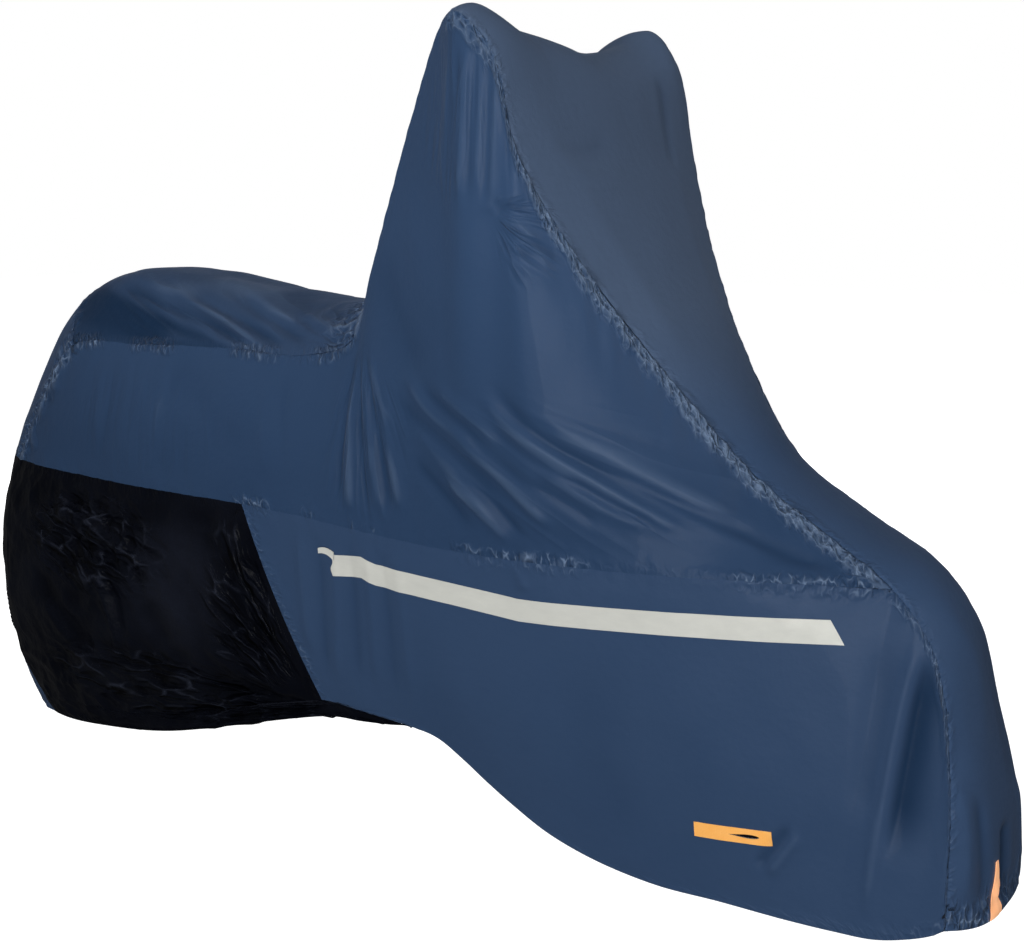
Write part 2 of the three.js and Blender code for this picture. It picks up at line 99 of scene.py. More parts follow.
class SmoothCurve:
    """Centripetal curve through a list of points, read by point number."""

    def __init__(self, points: Sequence[Sequence[float]]) -> None:
        """Works out the curve's pieces.

        Args:
            points: Points that the curve passes through, in any number of dimensions.
        """
        p = np.asarray(points, float)
        p = np.vstack([2 * p[0] - p[1], p, 2 * p[-1] - p[-2]])
        gap = np.maximum(np.linalg.norm(np.diff(p, axis=0), axis=1), 1e-6)[:, None] ** 0.5
        a, b, c, d = p[:-3], p[1:-2], p[2:-1], p[3:]
        e, f, g = gap[:-2], gap[1:-1], gap[2:]
        leave = ((b - a) / e - (c - a) / (e + f) + (c - b) / f) * f
        reach = ((c - b) / f - (d - b) / (f + g) + (d - c) / g) * f
        self._terms = np.stack([b, leave, 3 * (c - b) - 2 * leave - reach, 2 * (b - c) + leave + reach])

    def __call__(self, number: Array) -> Array:
        """Points of the curve.

        Args:
            number: Point numbers, whole or fractional.

        Returns:
            The point at each number.
        """
        number = np.asarray(number, float)
        piece = np.clip(np.floor(number), 0, self._terms.shape[1] - 1).astype(int)
        share = (number - piece)[..., None]
        a, b, c, d = self._terms[:, piece]
        return a + share * (b + share * (c + share * d))


class Unevenness:
    """Seeded smooth noise in space, about -1 to 1, for small uneven forms in cloth."""

    lattice = 256
    gain = 1.6
    steepness = 1.6

    def __init__(self, seed: int) -> None:
        """Draws the noise's lattice.

        Args:
            seed: Seed of the draw.
        """
        rng = np.random.default_rng(seed)
        self._order = np.concatenate([rng.permutation(self.lattice)] * 2)
        slopes = rng.normal(size=(self.lattice, 3))
        self._slopes = slopes / np.linalg.norm(slopes, axis=1)[:, None]

    def __call__(self, *axes: Array | float) -> Array:
        """Noise at a set of places.

        Args:
            axes: Arrays, or numbers, for up to three axes.

        Returns:
            Noise at each place.
        """
        place = np.stack(np.broadcast_arrays(*axes, *[0.5] * (3 - len(axes))), axis=-1)
        cell = np.floor(place).astype(int)
        share = place - cell
        fade = share**3 * (share * (share * 6 - 15) + 10)
        total = np.zeros(place.shape[:-1])
        for corner in itertools.product((0, 1), repeat=3):
            at = (cell + corner) % self.lattice
            pick = self._order[self._order[self._order[at[..., 0]] + at[..., 1]] + at[..., 2]]
            weight = np.prod(np.where(corner, fade, 1 - fade), axis=-1)
            total += weight * np.sum((share - corner) * self._slopes[pick], axis=-1)
        return self.gain * total

    def ridged(self, *axes: Array) -> Array:
        """Noise with sharp crests, as crumpled cloth has, from 0 in the hollows to 1 on the crests."""
        return 1.0 - np.abs(self(*axes)) * self.steepness


@dataclass(frozen=True)
class Section:
    """One cross-section of the right half, in millimetres; Y is given outwards.

    The crown is the centre strip on the middle plane, round and horn tell how full its arch is and how
    far it rises at the bar ends, and the full sizes are how far side and skirt bulge out.
    """

    name: str
    crown: tuple[float, float]
    round: float
    horn: float
    seam: Place
    waist: Place | None
    hem: Place
    side_full: float
    skirt_full: float


SECTIONS = (
    Section("tail", (-1080, 585), 2.6, 0, (-978, 152, 585), (-978, 152, 585), (-945, 140, 87), 0, 48),
    Section("tail_up", (-1022, 712), 2.4, 0, (-899, 155, 700), (-862, 190, 585), (-850, 170, 94), 4, 42),
    Section("seat_rear", (-862, 905), 2.5, 0, (-790, 165, 815), (-735, 208, 585), (-735, 190, 108), 10, 34),
    Section("seat_back", (-700, 949), 3.2, 0, (-640, 172, 825), (-590, 228, 585), (-550, 205, 137), 14, 24),
    Section("seat_mid", (-430, 922), 3.2, 0, (-380, 172, 830), (-318, 240, 584), (-154, 220, 245), 14, 12),
    Section("seat_front", (-255, 907), 3, 0, (-220, 172, 830), (-190, 245, 580), (-90, 222, 250), 12, 10),
    Section("notch", (-175, 922), 2.6, 0, (-130, 174, 860), (-100, 248, 574), (-35, 222, 255), 12, 8),
    Section("back_low", (-115, 1010), 2.2, 0, (-90, 180, 960), (-35, 250, 570), (10, 222, 260), 10, 8),
    Section("back_high", (-10, 1165), 2, 0, (-6, 195, 1165), (45, 252, 566), (60, 220, 252), 6, 8),
    Section("ridge_rear", (85, 1272), 1.3, 16, (95, 248, 1314), (105, 252, 564), (110, 219, 226), 4, 8),
    Section("ridge", (145, 1303), 1.2, 20, (155, 290, 1334), (150, 250, 563), (150, 215, 198), 4, 8),
    Section("ridge_front", (212, 1272), 1.3, 14, (203, 276, 1288), (205, 247, 562), (200, 209, 165), 6, 8),
    Section("shield_top", (270, 1130), 2, 3, (240, 264, 1145), (265, 243, 562), (255, 203, 134), 10, 8),
    Section("shield_mid", (330, 1005), 2, 0, (305, 208, 1000), (345, 230, 562), (330, 193, 106), 12, 8),
    Section("shield_low", (440, 830), 2, 0, (411, 131, 832), (450, 205, 562), (430, 184, 88), 10, 8),
    Section("fender_rear", (546, 700), 2, 0, (520, 85, 700), (555, 172, 562), (530, 178, 86), 6, 8),
    Section("fender", (658, 628), 2, 0, (630, 85, 627), (650, 135, 562), (630, 171, 82), 3, 8),
    Section("join", (763, 570), 2, 0, (738, 95, 560), (738, 95, 560), (700, 163, 80), 0, 8),
    Section("nose_top", (819, 494), 2.2, 0, (800, 98, 480), None, (755, 159, 82), 0, 6),
    Section("nose_mid", (849, 385), 2.6, 0, (830, 110, 360), None, (800, 155, 93), 0, 4),
    Section("nose_low", (881, 240), 3, 0, (846, 136, 235), None, (832, 150, 105), 0, 2),
    Section("nose_hem", (889, 105), 3, 0, (849, 147, 116), None, (849, 147, 116), 0, 0),
)
NUMBER = {row.name: i for i, row in enumerate(SECTIONS)}
LAST = len(SECTIONS) - 1
TAIL = -1.0  # section number of the tail's middle plane


@dataclass
class CoverShape:
    """Smooth draped form that every panel is a piece of."""

    tail_hem: Place = (-1000, 0, 98)
    tail_hem_turn: tuple[float, float] = (80, 45)
    horn_start: float = 0.5
    horn_lean: tuple[float, float] = (3.0, 1.4)  # left, right
    horn_tilt: float = 2.4
    gusset_top: float = 0.92 * 4 / 7
    gusset_reach: float = 1.35
    gusset_swell: float = 0.7
    tongue_top: float = 0.92
    tongue_reach: float = 3.0
    tongue_curve: float = 0.8
    wave: float = 1.1
    wave_length: float = 21.0
    wave_reach: float = 26.0
    wave_seed: int = 5
    wave_apart: float = 9.0
    hem_step: float = 0.02
    hem_lead: float = 0.1

    def __post_init__(self) -> None:
        """Makes the long curves that the sections give."""
        out = np.array([1, -1, 1])
        self._crown = SmoothCurve([(row.crown[0], 0, row.crown[1]) for row in SECTIONS])
        self._seam = SmoothCurve(np.array([row.seam for row in SECTIONS]) * out)
        self._waist = SmoothCurve(np.array([row.waist for row in SECTIONS if row.waist]) * out)
        self._hem = SmoothCurve(np.array([row.hem for row in SECTIONS]) * out)
        self._uneven = Unevenness(self.wave_seed)

    @staticmethod
    def blend(column: str, section: Array) -> Array:
        """Value of a section field between the rows of the table."""
        return np.interp(section, range(LAST + 1), [getattr(row, column) for row in SECTIONS])

    def _wavy(self, edge: Array, away: Array) -> Array:
        """How far cloth is drawn in and out beside a seam, as sewn cloth is.

        Args:
            edge: Place on the seam's smooth line that each point belongs to.
            away: Distance of each point from the seam.

        Returns:
            Shift of each point, which dies away from the seam.
        """
        x, y, z = np.moveaxis(edge / self.wave_length, -1, 0)
        shift = np.stack([self._uneven(x, y + self.wave_apart * k, z) for k in range(3)], axis=-1)
        return self.wave * shift * np.exp(-((away / self.wave_reach) ** 2))[..., None]

    def hem(self, section: Array) -> Array:
        """Lower edge, which turns round the tail behind the first section.

        Args:
            section: Section numbers.

        Returns:
            The hem's point at each section.
        """
        section = np.asarray(section, float)
        start = self._hem(np.array(0.0))
        lead = start - self._hem(np.array(self.hem_lead))
        turn = [
            np.array(self.tail_hem, float),
            np.array(self.tail_hem, float) + (0, -self.tail_hem_turn[0], 0),
            start + lead / np.linalg.norm(lead) * self.tail_hem_turn[1],
            start,
        ]
        t = np.clip(section - TAIL, 0, 1)[..., None]
        weights = [(1 - t) ** 3, 3 * t * (1 - t) ** 2, 3 * t * t * (1 - t), t**3]
        behind = sum(w * p for w, p in zip(weights, turn))
        return np.where((section < 0)[..., None], behind, self._hem(np.maximum(section, 0)))

    def strip(self, section: Array, side: Array) -> Array:
        """Centre strip.

        Args:
            section: Section number of each point.
            side: Place across, from -1 at the left seam over the crown to 1 at the right seam.

        Returns:
            The points.
        """
        crown, seam = self._crown(section), self._seam(section)
        out = np.abs(side)
        full = (out ** self.blend("round", section))[..., None]
        points = crown + (seam - crown) * full
        points[..., 1] = seam[..., 1] * side
        rise = np.maximum(out - self.horn_start, 0) / (1 - self.horn_start)
        lean = np.where(side < 0, *self.horn_lean)
        bump = np.sin(np.pi * rise**lean) + self.horn_tilt * side * (1 - out) ** 2
        points[..., 2] += self.blend("horn", section) * bump
        edge = seam * np.stack([np.ones_like(side), np.sign(side) + (side == 0), np.ones_like(side)], axis=-1)
        return points + self._wavy(edge, np.linalg.norm(points - edge, axis=-1))

    def upper(self, section: Array, down: Array) -> Array:
        """Upper side.

        Args:
            section: Section number of each point.
            down: Share of the height, from 0 at the seam to 1 at the waist.

        Returns:
            The points.
        """
        seam, waist = self._seam(section), self._waist(section)
        points = seam + (waist - seam) * down[..., None]
        height = np.linalg.norm(waist - seam, axis=-1)
        points[..., 1] -= self.blend("side_full", section) * 4 * down * (1 - down)
        return points + self._wavy(seam, down * height) + self._wavy(waist, (1 - down) * height)

    def _skirt_top(self, section: Array) -> Array:
        """Upper edge of the lower panels: round the tail, along the waist and down the nose.

        Args:
            section: Section numbers.

        Returns:
            The edge's point at each section.
        """
        waist_end = NUMBER["join"]
        behind = self.strip(np.zeros_like(section), np.clip(section - TAIL, 0, 1))
        beside = self._waist(np.clip(section, 0, waist_end))
        ahead = self._seam(np.maximum(section, waist_end))
        low = np.where((section < 0)[..., None], behind, beside)
        return np.where((section >= waist_end)[..., None], ahead, low)

    def skirt(self, section: Array, down: Array) -> Array:
        """Skirt and heat panel.

        Args:
            section: Section number of each point.
            down: Share of the height, from 0 at their upper edge to 1 at the hem.

        Returns:
            The points.
        """
        before, after = np.maximum(section - self.hem_step, TAIL), np.minimum(section + self.hem_step, LAST)
        ahead = self.hem(after) - self.hem(before)
        outward = np.stack([ahead[..., 1], -ahead[..., 0], np.zeros_like(section)], axis=-1)
        outward /= np.linalg.norm(outward, axis=-1, keepdims=True)
        top = self._skirt_top(section)
        full = self.blend("skirt_full", section) * 4 * down * (1 - down)
        drop = self.hem(section) - top
        round_tail = np.where(section < 0, 40 * self.wave_reach, 0)  # out of the wave's reach
        away = down * np.linalg.norm(drop, axis=-1) + round_tail
        return top + drop * down[..., None] + outward * full[..., None] + self._wavy(top, away)

    def gusset_edge(self, down: Array) -> Array:
        """Section where the heat panel starts at a height."""
        share = np.maximum(down - self.gusset_top, 0) / (1 - self.gusset_top)
        return TAIL + self.gusset_reach * share**self.gusset_swell

    def heat_edge(self, down: Array) -> Array:
        """Section where the heat panel ends and the skirt starts at a height."""
        share = np.maximum(down - self.tongue_top, 0) / (1 - self.tongue_top)
        return NUMBER["seat_mid"] + self.tongue_reach * share**self.tongue_curve


@dataclass(frozen=True)
class Crease:
    """Soft ridge, or trough where the height is negative, along a smooth path in a flat view.

    The skew is how wide it is on the right of the path, as a share of its width on the left.
    """

    path: Pairs
    width: float
    height: float
    taper: float = 0.25
    skew: float = 1.0
    fall: float = 1.8

    def lift(self, across: Array, up: Array) -> Array:
        """Height of the crease at places of the view.

        Args:
            across: First coordinate of each place, in millimetres.
            up: Second coordinate of each place, in millimetres.

        Returns:
            Height at each place, in millimetres.
        """
        count = len(self.path) - 1
        line = SmoothCurve(self.path)(np.linspace(0, count, 5 * count + 1))
        lengths = np.linalg.norm(np.diff(line, axis=0), axis=1)
        starts = np.concatenate([[0], np.cumsum(lengths)[:-1]])
        result = np.zeros(across.shape)
        room = 3 * self.width
        near = (
            (across > line[:, 0].min() - room) & (across < line[:, 0].max() + room)
            & (up > line[:, 1].min() - room) & (up < line[:, 1].max() + room)
        )
        place = np.stack([across[near], up[near]], axis=-1)
        best = np.full(len(place), np.inf)
        share, width = np.zeros(len(place)), np.full(len(place), self.width)
        for start, end, length, before in zip(line[:-1], line[1:], lengths, starts):
            ahead, from_start = end - start, place - start
            along = np.clip(from_start @ ahead / length**2, 0, 1)
            away = np.linalg.norm(from_start - along[:, None] * ahead, axis=1)
            closer = away < best
            best = np.where(closer, away, best)
            share = np.where(closer, (before + along * length) / lengths.sum(), share)
            left = ahead[0] * from_start[:, 1] > ahead[1] * from_start[:, 0]
            width = np.where(closer, np.where(left, self.width, self.width * self.skew), width)
        ends = smoothstep(share / self.taper) * smoothstep((1 - share) / self.taper)
        result[near] = self.height * ends * np.exp(-((best / width) ** self.fall))
        return result


def crease_rows(*rows: tuple[Any, ...]) -> tuple[Crease, ...]:
    """Creases from rows of a path, width and height, with a taper and a skew where they are not the usual."""
    return tuple(Crease(*row) for row in rows)


@dataclass(frozen=True)
class Fan:
    """Fine folds that run out from a pole in a flat view, over an oval patch of cloth."""

    pole: tuple[float, float]
    middle: tuple[float, float]
    reach: tuple[float, float]
    pitch: float = 20.0
    strength: float = 1.0
    stretch: float = 7.0

    def field(self, across: Array, up: Array) -> tuple[Array, Array]:
        """Place of each point in the fan.

        Args:
            across: First coordinate of each place, in millimetres.
            up: Second coordinate of each place, in millimetres.

        Returns:
            Place across the folds and along them, counted in folds, with their strength, and how far out in
            the patch each point lies.
        """
        ahead = np.array(self.middle) - self.pole
        centre = np.hypot(*ahead)
        ahead = ahead / centre
        x, z = across - self.pole[0], up - self.pole[1]
        turn = np.arctan2(ahead[0] * z - ahead[1] * x, ahead[0] * x + ahead[1] * z)
        out = np.hypot((across - self.middle[0]) / self.reach[0], (up - self.middle[1]) / self.reach[1])
        strength = self.strength * smoothstep(2.0 * (1.0 - out))
        along = np.hypot(x, z) / (self.stretch * self.pitch)
        return np.stack([turn * centre / self.pitch, along, strength], axis=-1), out


@dataclass(frozen=True)
class Gather:
    """Uneven puckers beside a seam, stronger along some stretches of it than along others.

    Fine puckers lie close to the seam, and longer ones run out from it. The stitched width is how near
    the seam the cloth is held flat, and the finish shows puckers in full from the full depth on.
    """

    edge: Edge
    depth: float
    pitch: float = 9.0
    reach: float = 17.0
    strength: Pairs = ((0, 1),)
    band: float = 0.0
    groove: float = 0.0
    # painted highlight: how much lighter the finish colours the raised band beside the seam
    seam_highlight: float = 0.0
    grain: tuple[float, float] = (0.8, 0.45)
    longer: float = 2.6
    stitched: float = 3.0
    full_depth: float = 4.0

    def lift(
        self, uneven: Unevenness, points: Array, section: Array
    ) -> tuple[Array, Array, Array]:
        """Height of the puckers, and of the raised band of turned-in cloth, over a panel's grid.

        Args:
            uneven: Noise that places the puckers.
            points: Grid of the panel's points.
            section: Section number of each point.

        Returns:
            Height at each grid point in millimetres; for the finer puckers of the finish the distances
            along the seam and away from it, scaled by the grain, with their strength; and the strength of
            the painted highlight on the raised band.
        """
        along, away = edge_field(points, self.edge)
        fine_layer, long_layer, reach_layer = 3.3, 7.7, 1.1  # apart in the noise, so that the forms differ
        fine = uneven(along / self.pitch, away / (1.3 * self.pitch), fine_layer)
        long = uneven(along / (self.longer * self.pitch), away / (6 * self.pitch), long_layer)
        reach = self.reach * (1 + 0.3 * uneven(along / (1.6 * self.pitch), reach_layer))
        close = (1 - np.exp(-away / self.stitched)) * np.exp(-((away / reach) ** 4))
        wide = (1 - np.exp(-away / (3 * self.stitched))) * np.exp(-((away / (self.longer * self.reach)) ** 2))
        raised = (1 - np.exp(-((away / self.stitched) ** 2))) * np.exp(-((away / reach) ** 6))
        gain = np.interp(section, *zip(*self.strength))
        fineness = gain * np.exp(-((away / reach) ** 4)) * min(1.0, self.depth / self.full_depth)
        field = np.stack([along * MM * self.grain[0], away * MM * self.grain[1], fineness], axis=-1)
        groove = self.groove * np.exp(-((away / self.stitched) ** 2))
        height = self.depth * (fine * close + 0.6 * long * wide) + self.band * raised - groove
        return gain * height, field, self.seam_highlight * gain * raised


def edge_field(points: Array, edge: Edge) -> tuple[Array, Array]:
    """Distances along an edge of a grid and away from it.

    Args:
        points: Grid of points, columns by rows.
        edge: Edge that the distances are taken from.

    Returns:
        Distance along the edge and distance from it at each grid point, in millimetres.
    """
    turned = points if edge in (Edge.FIRST_ROW, Edge.LAST_ROW) else points.swapaxes(0, 1)
    turned = turned[:, ::-1] if edge in (Edge.LAST_ROW, Edge.LAST_COLUMN) else turned
    steps = np.linalg.norm(np.diff(turned, axis=1), axis=-1)
    away = np.concatenate([np.zeros((len(turned), 1)), np.cumsum(steps, axis=1)], axis=1)
    along_steps = np.linalg.norm(np.diff(turned[:, 0], axis=0), axis=-1)
    along = np.broadcast_to(np.concatenate([[0], np.cumsum(along_steps)])[:, None], away.shape)
    if edge in (Edge.LAST_ROW, Edge.LAST_COLUMN):
        along, away = along[:, ::-1], away[:, ::-1]
    if edge in (Edge.FIRST_COLUMN, Edge.LAST_COLUMN):
        along, away = along.T, away.T
    return along, away


def outward_normals(points: Array) -> Array:
    """Unit directions out of the cover at each point of a panel's grid."""
    normals = np.cross(np.gradient(points, axis=1), np.gradient(points, axis=0))
    return normals / np.maximum(np.linalg.norm(normals, axis=-1, keepdims=True), 1e-9)


def dense_at_ends(count: int, crowding: float = 0.55) -> Array:
    """Numbers from 0 to 1, closer together at both ends."""
    even = np.linspace(0, 1, count)
    return even - crowding * np.sin(2 * np.pi * even) / (2 * np.pi)


def once_round(count: int) -> Array:
    """Evenly spaced angles, once round a circle."""
    return np.linspace(0, 2 * np.pi, count, endpoint=False)


def strip_grid(columns: int, rows: int) -> tuple[Array, Array]:
    """Shares of the length, 0 to 1, and of the width, 0.5 to -0.5, over a strip's grid."""
    along, across = np.meshgrid(np.linspace(0, 1, columns), np.linspace(0.5, -0.5, rows), indexing="ij")
    return along, across


def mesh_from(
    name: str, points: Array, faces: Array, inner_from: int, marks: Marks
) -> Mesh:
    """Mesh in the row's frame.

    Args:
        name: Name of the mesh.
        points: Points in millimetres above the ground.
        faces: Corner numbers of the four-sided faces.
        inner_from: Number of the first face that takes the second material, that of the inside.
        marks: Values at each point, kept as the mesh's attributes of those names.

    Returns:
        Smooth-shaded mesh with double points merged.
    """
    mesh = bpy.data.meshes.new(name)
    mesh.from_pydata(((points - ROW_ORIGIN) * MM).tolist(), [], faces.tolist())
    mesh.polygons.foreach_set("material_index", (np.arange(len(faces)) >= inner_from).astype(np.int32))
    for mark, values in marks.items():
        mesh.attributes.new(mark, "FLOAT_VECTOR", "POINT").data.foreach_set("vector", values.ravel())
    work = bmesh.new()
    work.from_mesh(mesh)
    bmesh.ops.remove_doubles(work, verts=work.verts, dist=2e-6)
    for edge in work.edges:
        if edge.calc_face_angle(0.0) > FOLD_ANGLE:
            edge.smooth = False
    work.to_mesh(mesh)
    work.free()
    mesh.shade_smooth()
    mesh.validate()
    return mesh


def grid_faces(columns: int, rows: int, ring: bool = False) -> Array:
    """Four-sided faces of a grid of points, facing out of the cover.

    Args:
        columns: Number of columns.
        rows: Number of rows.
        ring: True where the last column joins the first.

    Returns:
        Corner numbers, one row for each face.
    """
    i, j = np.meshgrid(np.arange(columns if ring else columns - 1), np.arange(rows - 1), indexing="ij")
    following = (i + 1) % columns
    corners = [i * rows + j, i * rows + j + 1, following * rows + j + 1, following * rows + j]
    return np.stack(corners, axis=-1).reshape(-1, 4)


def sheet_mesh(
    name: str,
    points: Array,
    thick: float,
    turn_in: float = 0.0,
    ring: bool = False,
    marks: Marks | None = None,
) -> Mesh:
    """Closed thin sheet on a grid of outer points.

    Args:
        name: Name of the mesh.
        points: Grid of outer points, columns by rows.
        thick: Thickness of the sheet in millimetres.
        turn_in: How far the edges are folded inwards, in millimetres.
        ring: True where the last column joins the first.
        marks: Values at each grid point for the finish, three for each name.

    Returns:
        Mesh whose inner faces take the second material.
    """
    marks = marks or {}
    if turn_in:
        folded = points - outward_normals(points) * turn_in
        framed = np.pad(points, ((1, 1), (1, 1), (0, 0)), mode="edge")
        inside = np.pad(folded, ((1, 1), (1, 1), (0, 0)), mode="edge")
        for border in ((0, slice(None)), (-1, slice(None)), (slice(None), 0), (slice(None), -1)):
            framed[border] = inside[border]
        points = framed
        marks = {key: np.pad(grid, ((1, 1), (1, 1), (0, 0)), mode="edge") for key, grid in marks.items()}
    normals = outward_normals(points)
    if ring:
        wrapped = np.concatenate([points[-1:], points, points[:1]])
        normals = outward_normals(wrapped)[1:-1]
    columns, rows = points.shape[:2]
    both = np.concatenate([points.reshape(-1, 3), (points - normals * thick).reshape(-1, 3)])
    total = columns * rows
    outer = grid_faces(columns, rows, ring=ring)
    number = np.arange(total).reshape(columns, rows)
    if ring:
        edges = [np.append(number[:, 0], number[0, 0]), np.append(number[::-1, -1], number[-1, -1])]
    else:
        edges = [np.concatenate([number[:, 0], number[-1, 1:], number[-2::-1, -1], number[0, -2::-1]])]
    rim = [np.stack([e[:-1], e[1:], e[1:] + total, e[:-1] + total], axis=-1) for e in edges]
    faces = np.concatenate([outer, outer[:, ::-1] + total, *rim])
    both_marks = {key: np.concatenate([grid.reshape(-1, 3)] * 2) for key, grid in marks.items()}
    return mesh_from(name, both, faces, len(outer), both_marks)


def all_lining(mesh: Mesh) -> Mesh:
    """The mesh with every face in the second material, that of the inside."""
    mesh.polygons.foreach_set("material_index", np.ones(len(mesh.polygons), np.int32))
    return mesh


def placed(name: str, data: ID) -> Object:
    """Puts a new object in the scene.

    Args:
        name: Name of the object.
        data: Its mesh, light or camera.

    Returns:
        The object.
    """
    made = bpy.data.objects.new(name, data)
    bpy.context.scene.collection.objects.link(made)
    return made


def joined(name: str, meshes: Sequence[Mesh]) -> Mesh:
    """One mesh made from several, which are used up.

    Args:
        name: Name of the new mesh.
        meshes: Meshes to join.

    Returns:
        The new mesh, without materials.
    """
    work = bmesh.new()
    for mesh in meshes:
        work.from_mesh(mesh)
        bpy.data.meshes.remove(mesh)
    made = bpy.data.meshes.new(name)
    work.to_mesh(made)
    work.free()
    return made


class Value:
    """Shader socket that takes part in Python arithmetic."""

    def __init__(self, tree: "ShaderTree", socket: NodeSocket) -> None:
        """Keeps the socket and the tree that new nodes go into."""
        self.tree = tree
        self.socket = socket

    def _maths(
        self, operation: str, first: "Value | float", second: "Value | float | None" = None
    ) -> "Value":
        """Math node on one or two values."""
        inputs = {0: first} if second is None else {0: first, 1: second}
        return self.tree.node("ShaderNodeMath", {"operation": operation}, inputs)

    def __add__(self, other: "Value | float") -> "Value":
        """Sum."""
        return self._maths("ADD", self, other)

    def __radd__(self, other: "Value | float") -> "Value":
        """Sum with a number first."""
        return self._maths("ADD", other, self)

    def __sub__(self, other: "Value | float") -> "Value":
        """Difference."""
        return self._maths("SUBTRACT", self, other)

    def __rsub__(self, other: "Value | float") -> "Value":
        """Difference with a number first."""
        return self._maths("SUBTRACT", other, self)

    def __mul__(self, other: "Value | float") -> "Value":
        """Product."""
        return self._maths("MULTIPLY", self, other)

    def __rmul__(self, other: "Value | float") -> "Value":
        """Product with a number first."""
        return self._maths("MULTIPLY", other, self)

    def __truediv__(self, other: "Value | float") -> "Value":
        """Quotient."""
        return self._maths("DIVIDE", self, other)

    def sine(self) -> "Value":
        """Sine of an angle in radians."""
        return self._maths("SINE", self)

    def size(self) -> "Value":
        """Value without its sign."""
        return self._maths("ABSOLUTE", self)

    def clamped(self) -> "Value":
        """Value held between 0 and 1."""
        return self._maths("MINIMUM", self._maths("MAXIMUM", self, 0.0), 1.0)


class ShaderTree:
    """Nodes of a material, or of the world, under construction."""

    def __init__(self, owner: Material | World) -> None:
        """Clears the nodes of their owner.

        Args:
            owner: Material or world that the nodes belong to.
        """
        owner.use_nodes = True
        self.owner = owner
        self.nodes = owner.node_tree.nodes
        self.links = owner.node_tree.links
        self.nodes.clear()

    def node(self, kind: str, settings: dict[str, Any], inputs: dict[Any, Any], output: Any = 0) -> Value:
        """Adds a node.

        Args:
            kind: Blender's name of the node type.
            settings: Properties of the node, set before its sockets.
            inputs: Values or links of its sockets, by name or number.
            output: Name or number of the output to return.

        Returns:
            The node's output as a value.
        """
        made = self.nodes.new(kind)
        for key, value in settings.items():
            setattr(made, key, value)
        for key, value in inputs.items():
            if isinstance(value, Value):
                self.links.new(value.socket, made.inputs[key])
            else:
                made.inputs[key].default_value = value
        return Value(self, made.outputs[output] if made.outputs else None)

    def place(self) -> Value:
        """Place on the object, in metres."""
        return self.node("ShaderNodeTexCoord", {}, {}, "Object")

    def axes(self, vector: Value) -> tuple[Value, Value, Value]:
        """The three parts of a vector."""
        parted = self.node("ShaderNodeSeparateXYZ", {}, {0: vector}).socket.node
        return tuple(Value(self, output) for output in parted.outputs)

    def noise(
        self, place: Value, scale: float, detail: float = 2.0, rough: float = 0.5, axes: str = "3D"
    ) -> Value:
        """Soft noise around 0.5 at a number of forms per metre, in two or three axes."""
        inputs = {"Vector": place, "Scale": scale, "Detail": detail, "Roughness": rough}
        return self.node("ShaderNodeTexNoise", {"noise_dimensions": axes}, inputs, "Fac")

    def cells(self, place: Value, scale: float, settings: dict[str, str]) -> Value:
        """Distance in a pattern of uneven cells, at a number of cells per unit of length."""
        return self.node("ShaderNodeTexVoronoi", settings, {"Vector": place, "Scale": scale}, "Distance")

    def ridged(self, place: Value) -> Value:
        """Noise with sharp crests, as folded cloth has, in flat folds counted across and along."""
        return 1.0 - (self.noise(place, 1.0, 1.0, axes="2D") - 0.5).size() * 4.0

    def crumpled(self, place: Value, scale: float) -> tuple[Value, Value]:
        """Uneven facets with sharp crests between some of them, in a flat pattern.

        Args:
            place: Place on the cloth, of which the first two axes count.
            scale: Number of facets per unit of length.

        Returns:
            Height of the facets, about -0.6 to 0.6, and the crests, from 0 to 1 on their lines.
        """
        inputs = {"Vector": place, "Scale": 0.8 * scale, "Detail": 1.0}
        swirl = self.node("ShaderNodeTexNoise", {"noise_dimensions": "2D"}, inputs, "Color")
        shift = {0: swirl, 1: (0.9 / scale,) * 3, 2: place}
        bent = self.node("ShaderNodeVectorMath", {"operation": "MULTIPLY_ADD"}, shift)
        large, small, edge = (
            self.cells(bent, count, {"voronoi_dimensions": "2D", "feature": feature})
            for count, feature in ((scale, "F1"), (2.3 * scale, "F1"), (scale, "DISTANCE_TO_EDGE"))
        )
        patchy = (self.noise(place, 1.3 * scale, 1.0, axes="2D") * 4.0 - 1.6).clamped()
        return large * 1.15 + small * 0.5 - 0.68, (1.0 - edge * 9.0).clamped() * patchy

    def stretched(self, place: Value, scale: Place) -> Value:
        """Place scaled along its axes."""
        return self.node("ShaderNodeVectorMath", {"operation": "MULTIPLY"}, {0: place, 1: scale})

    def mixed(self, share: Value, first: Value | Colour, second: Value | Colour) -> Value:
        """Colour between two colours."""
        ends = [end if isinstance(end, Value) else (*end, 1) for end in (first, second)]
        return self.node("ShaderNodeMix", {"data_type": "RGBA"}, {0: share, 6: ends[0], 7: ends[1]}, 2)

    def bump(self, height: Value, distance: float, strength: float, over: Value | None = None) -> Value:
        """Surface direction with small relief over another direction."""
        inputs = {"Height": height, "Distance": distance, "Strength": strength, "Normal": over}
        return self.node("ShaderNodeBump", {}, {k: v for k, v in inputs.items() if v is not None})

    def weave(self, place: Value, pitch: float) -> Value:
        """Over-and-under pattern of a plain weave with that pitch in metres."""
        a, b, c = ((part * (2 * math.pi / pitch)).sine() for part in self.axes(place))
        return (a * b + b * c + c * a) * 0.33 + 0.5

    def marked(self, name: str) -> tuple[Value, Value, Value]:
        """The three values that the cloth's points carry under a name."""
        return self.axes(self.node("ShaderNodeAttribute", {"attribute_name": name}, {}, "Vector"))

    def flat_place(self, name: str) -> tuple[Value, Value]:
        """Flat place from the first two values under a name, and the third value, its strength."""
        first, second, strength = self.marked(name)
        return self.node("ShaderNodeCombineXYZ", {}, {0: first, 1: second}), strength

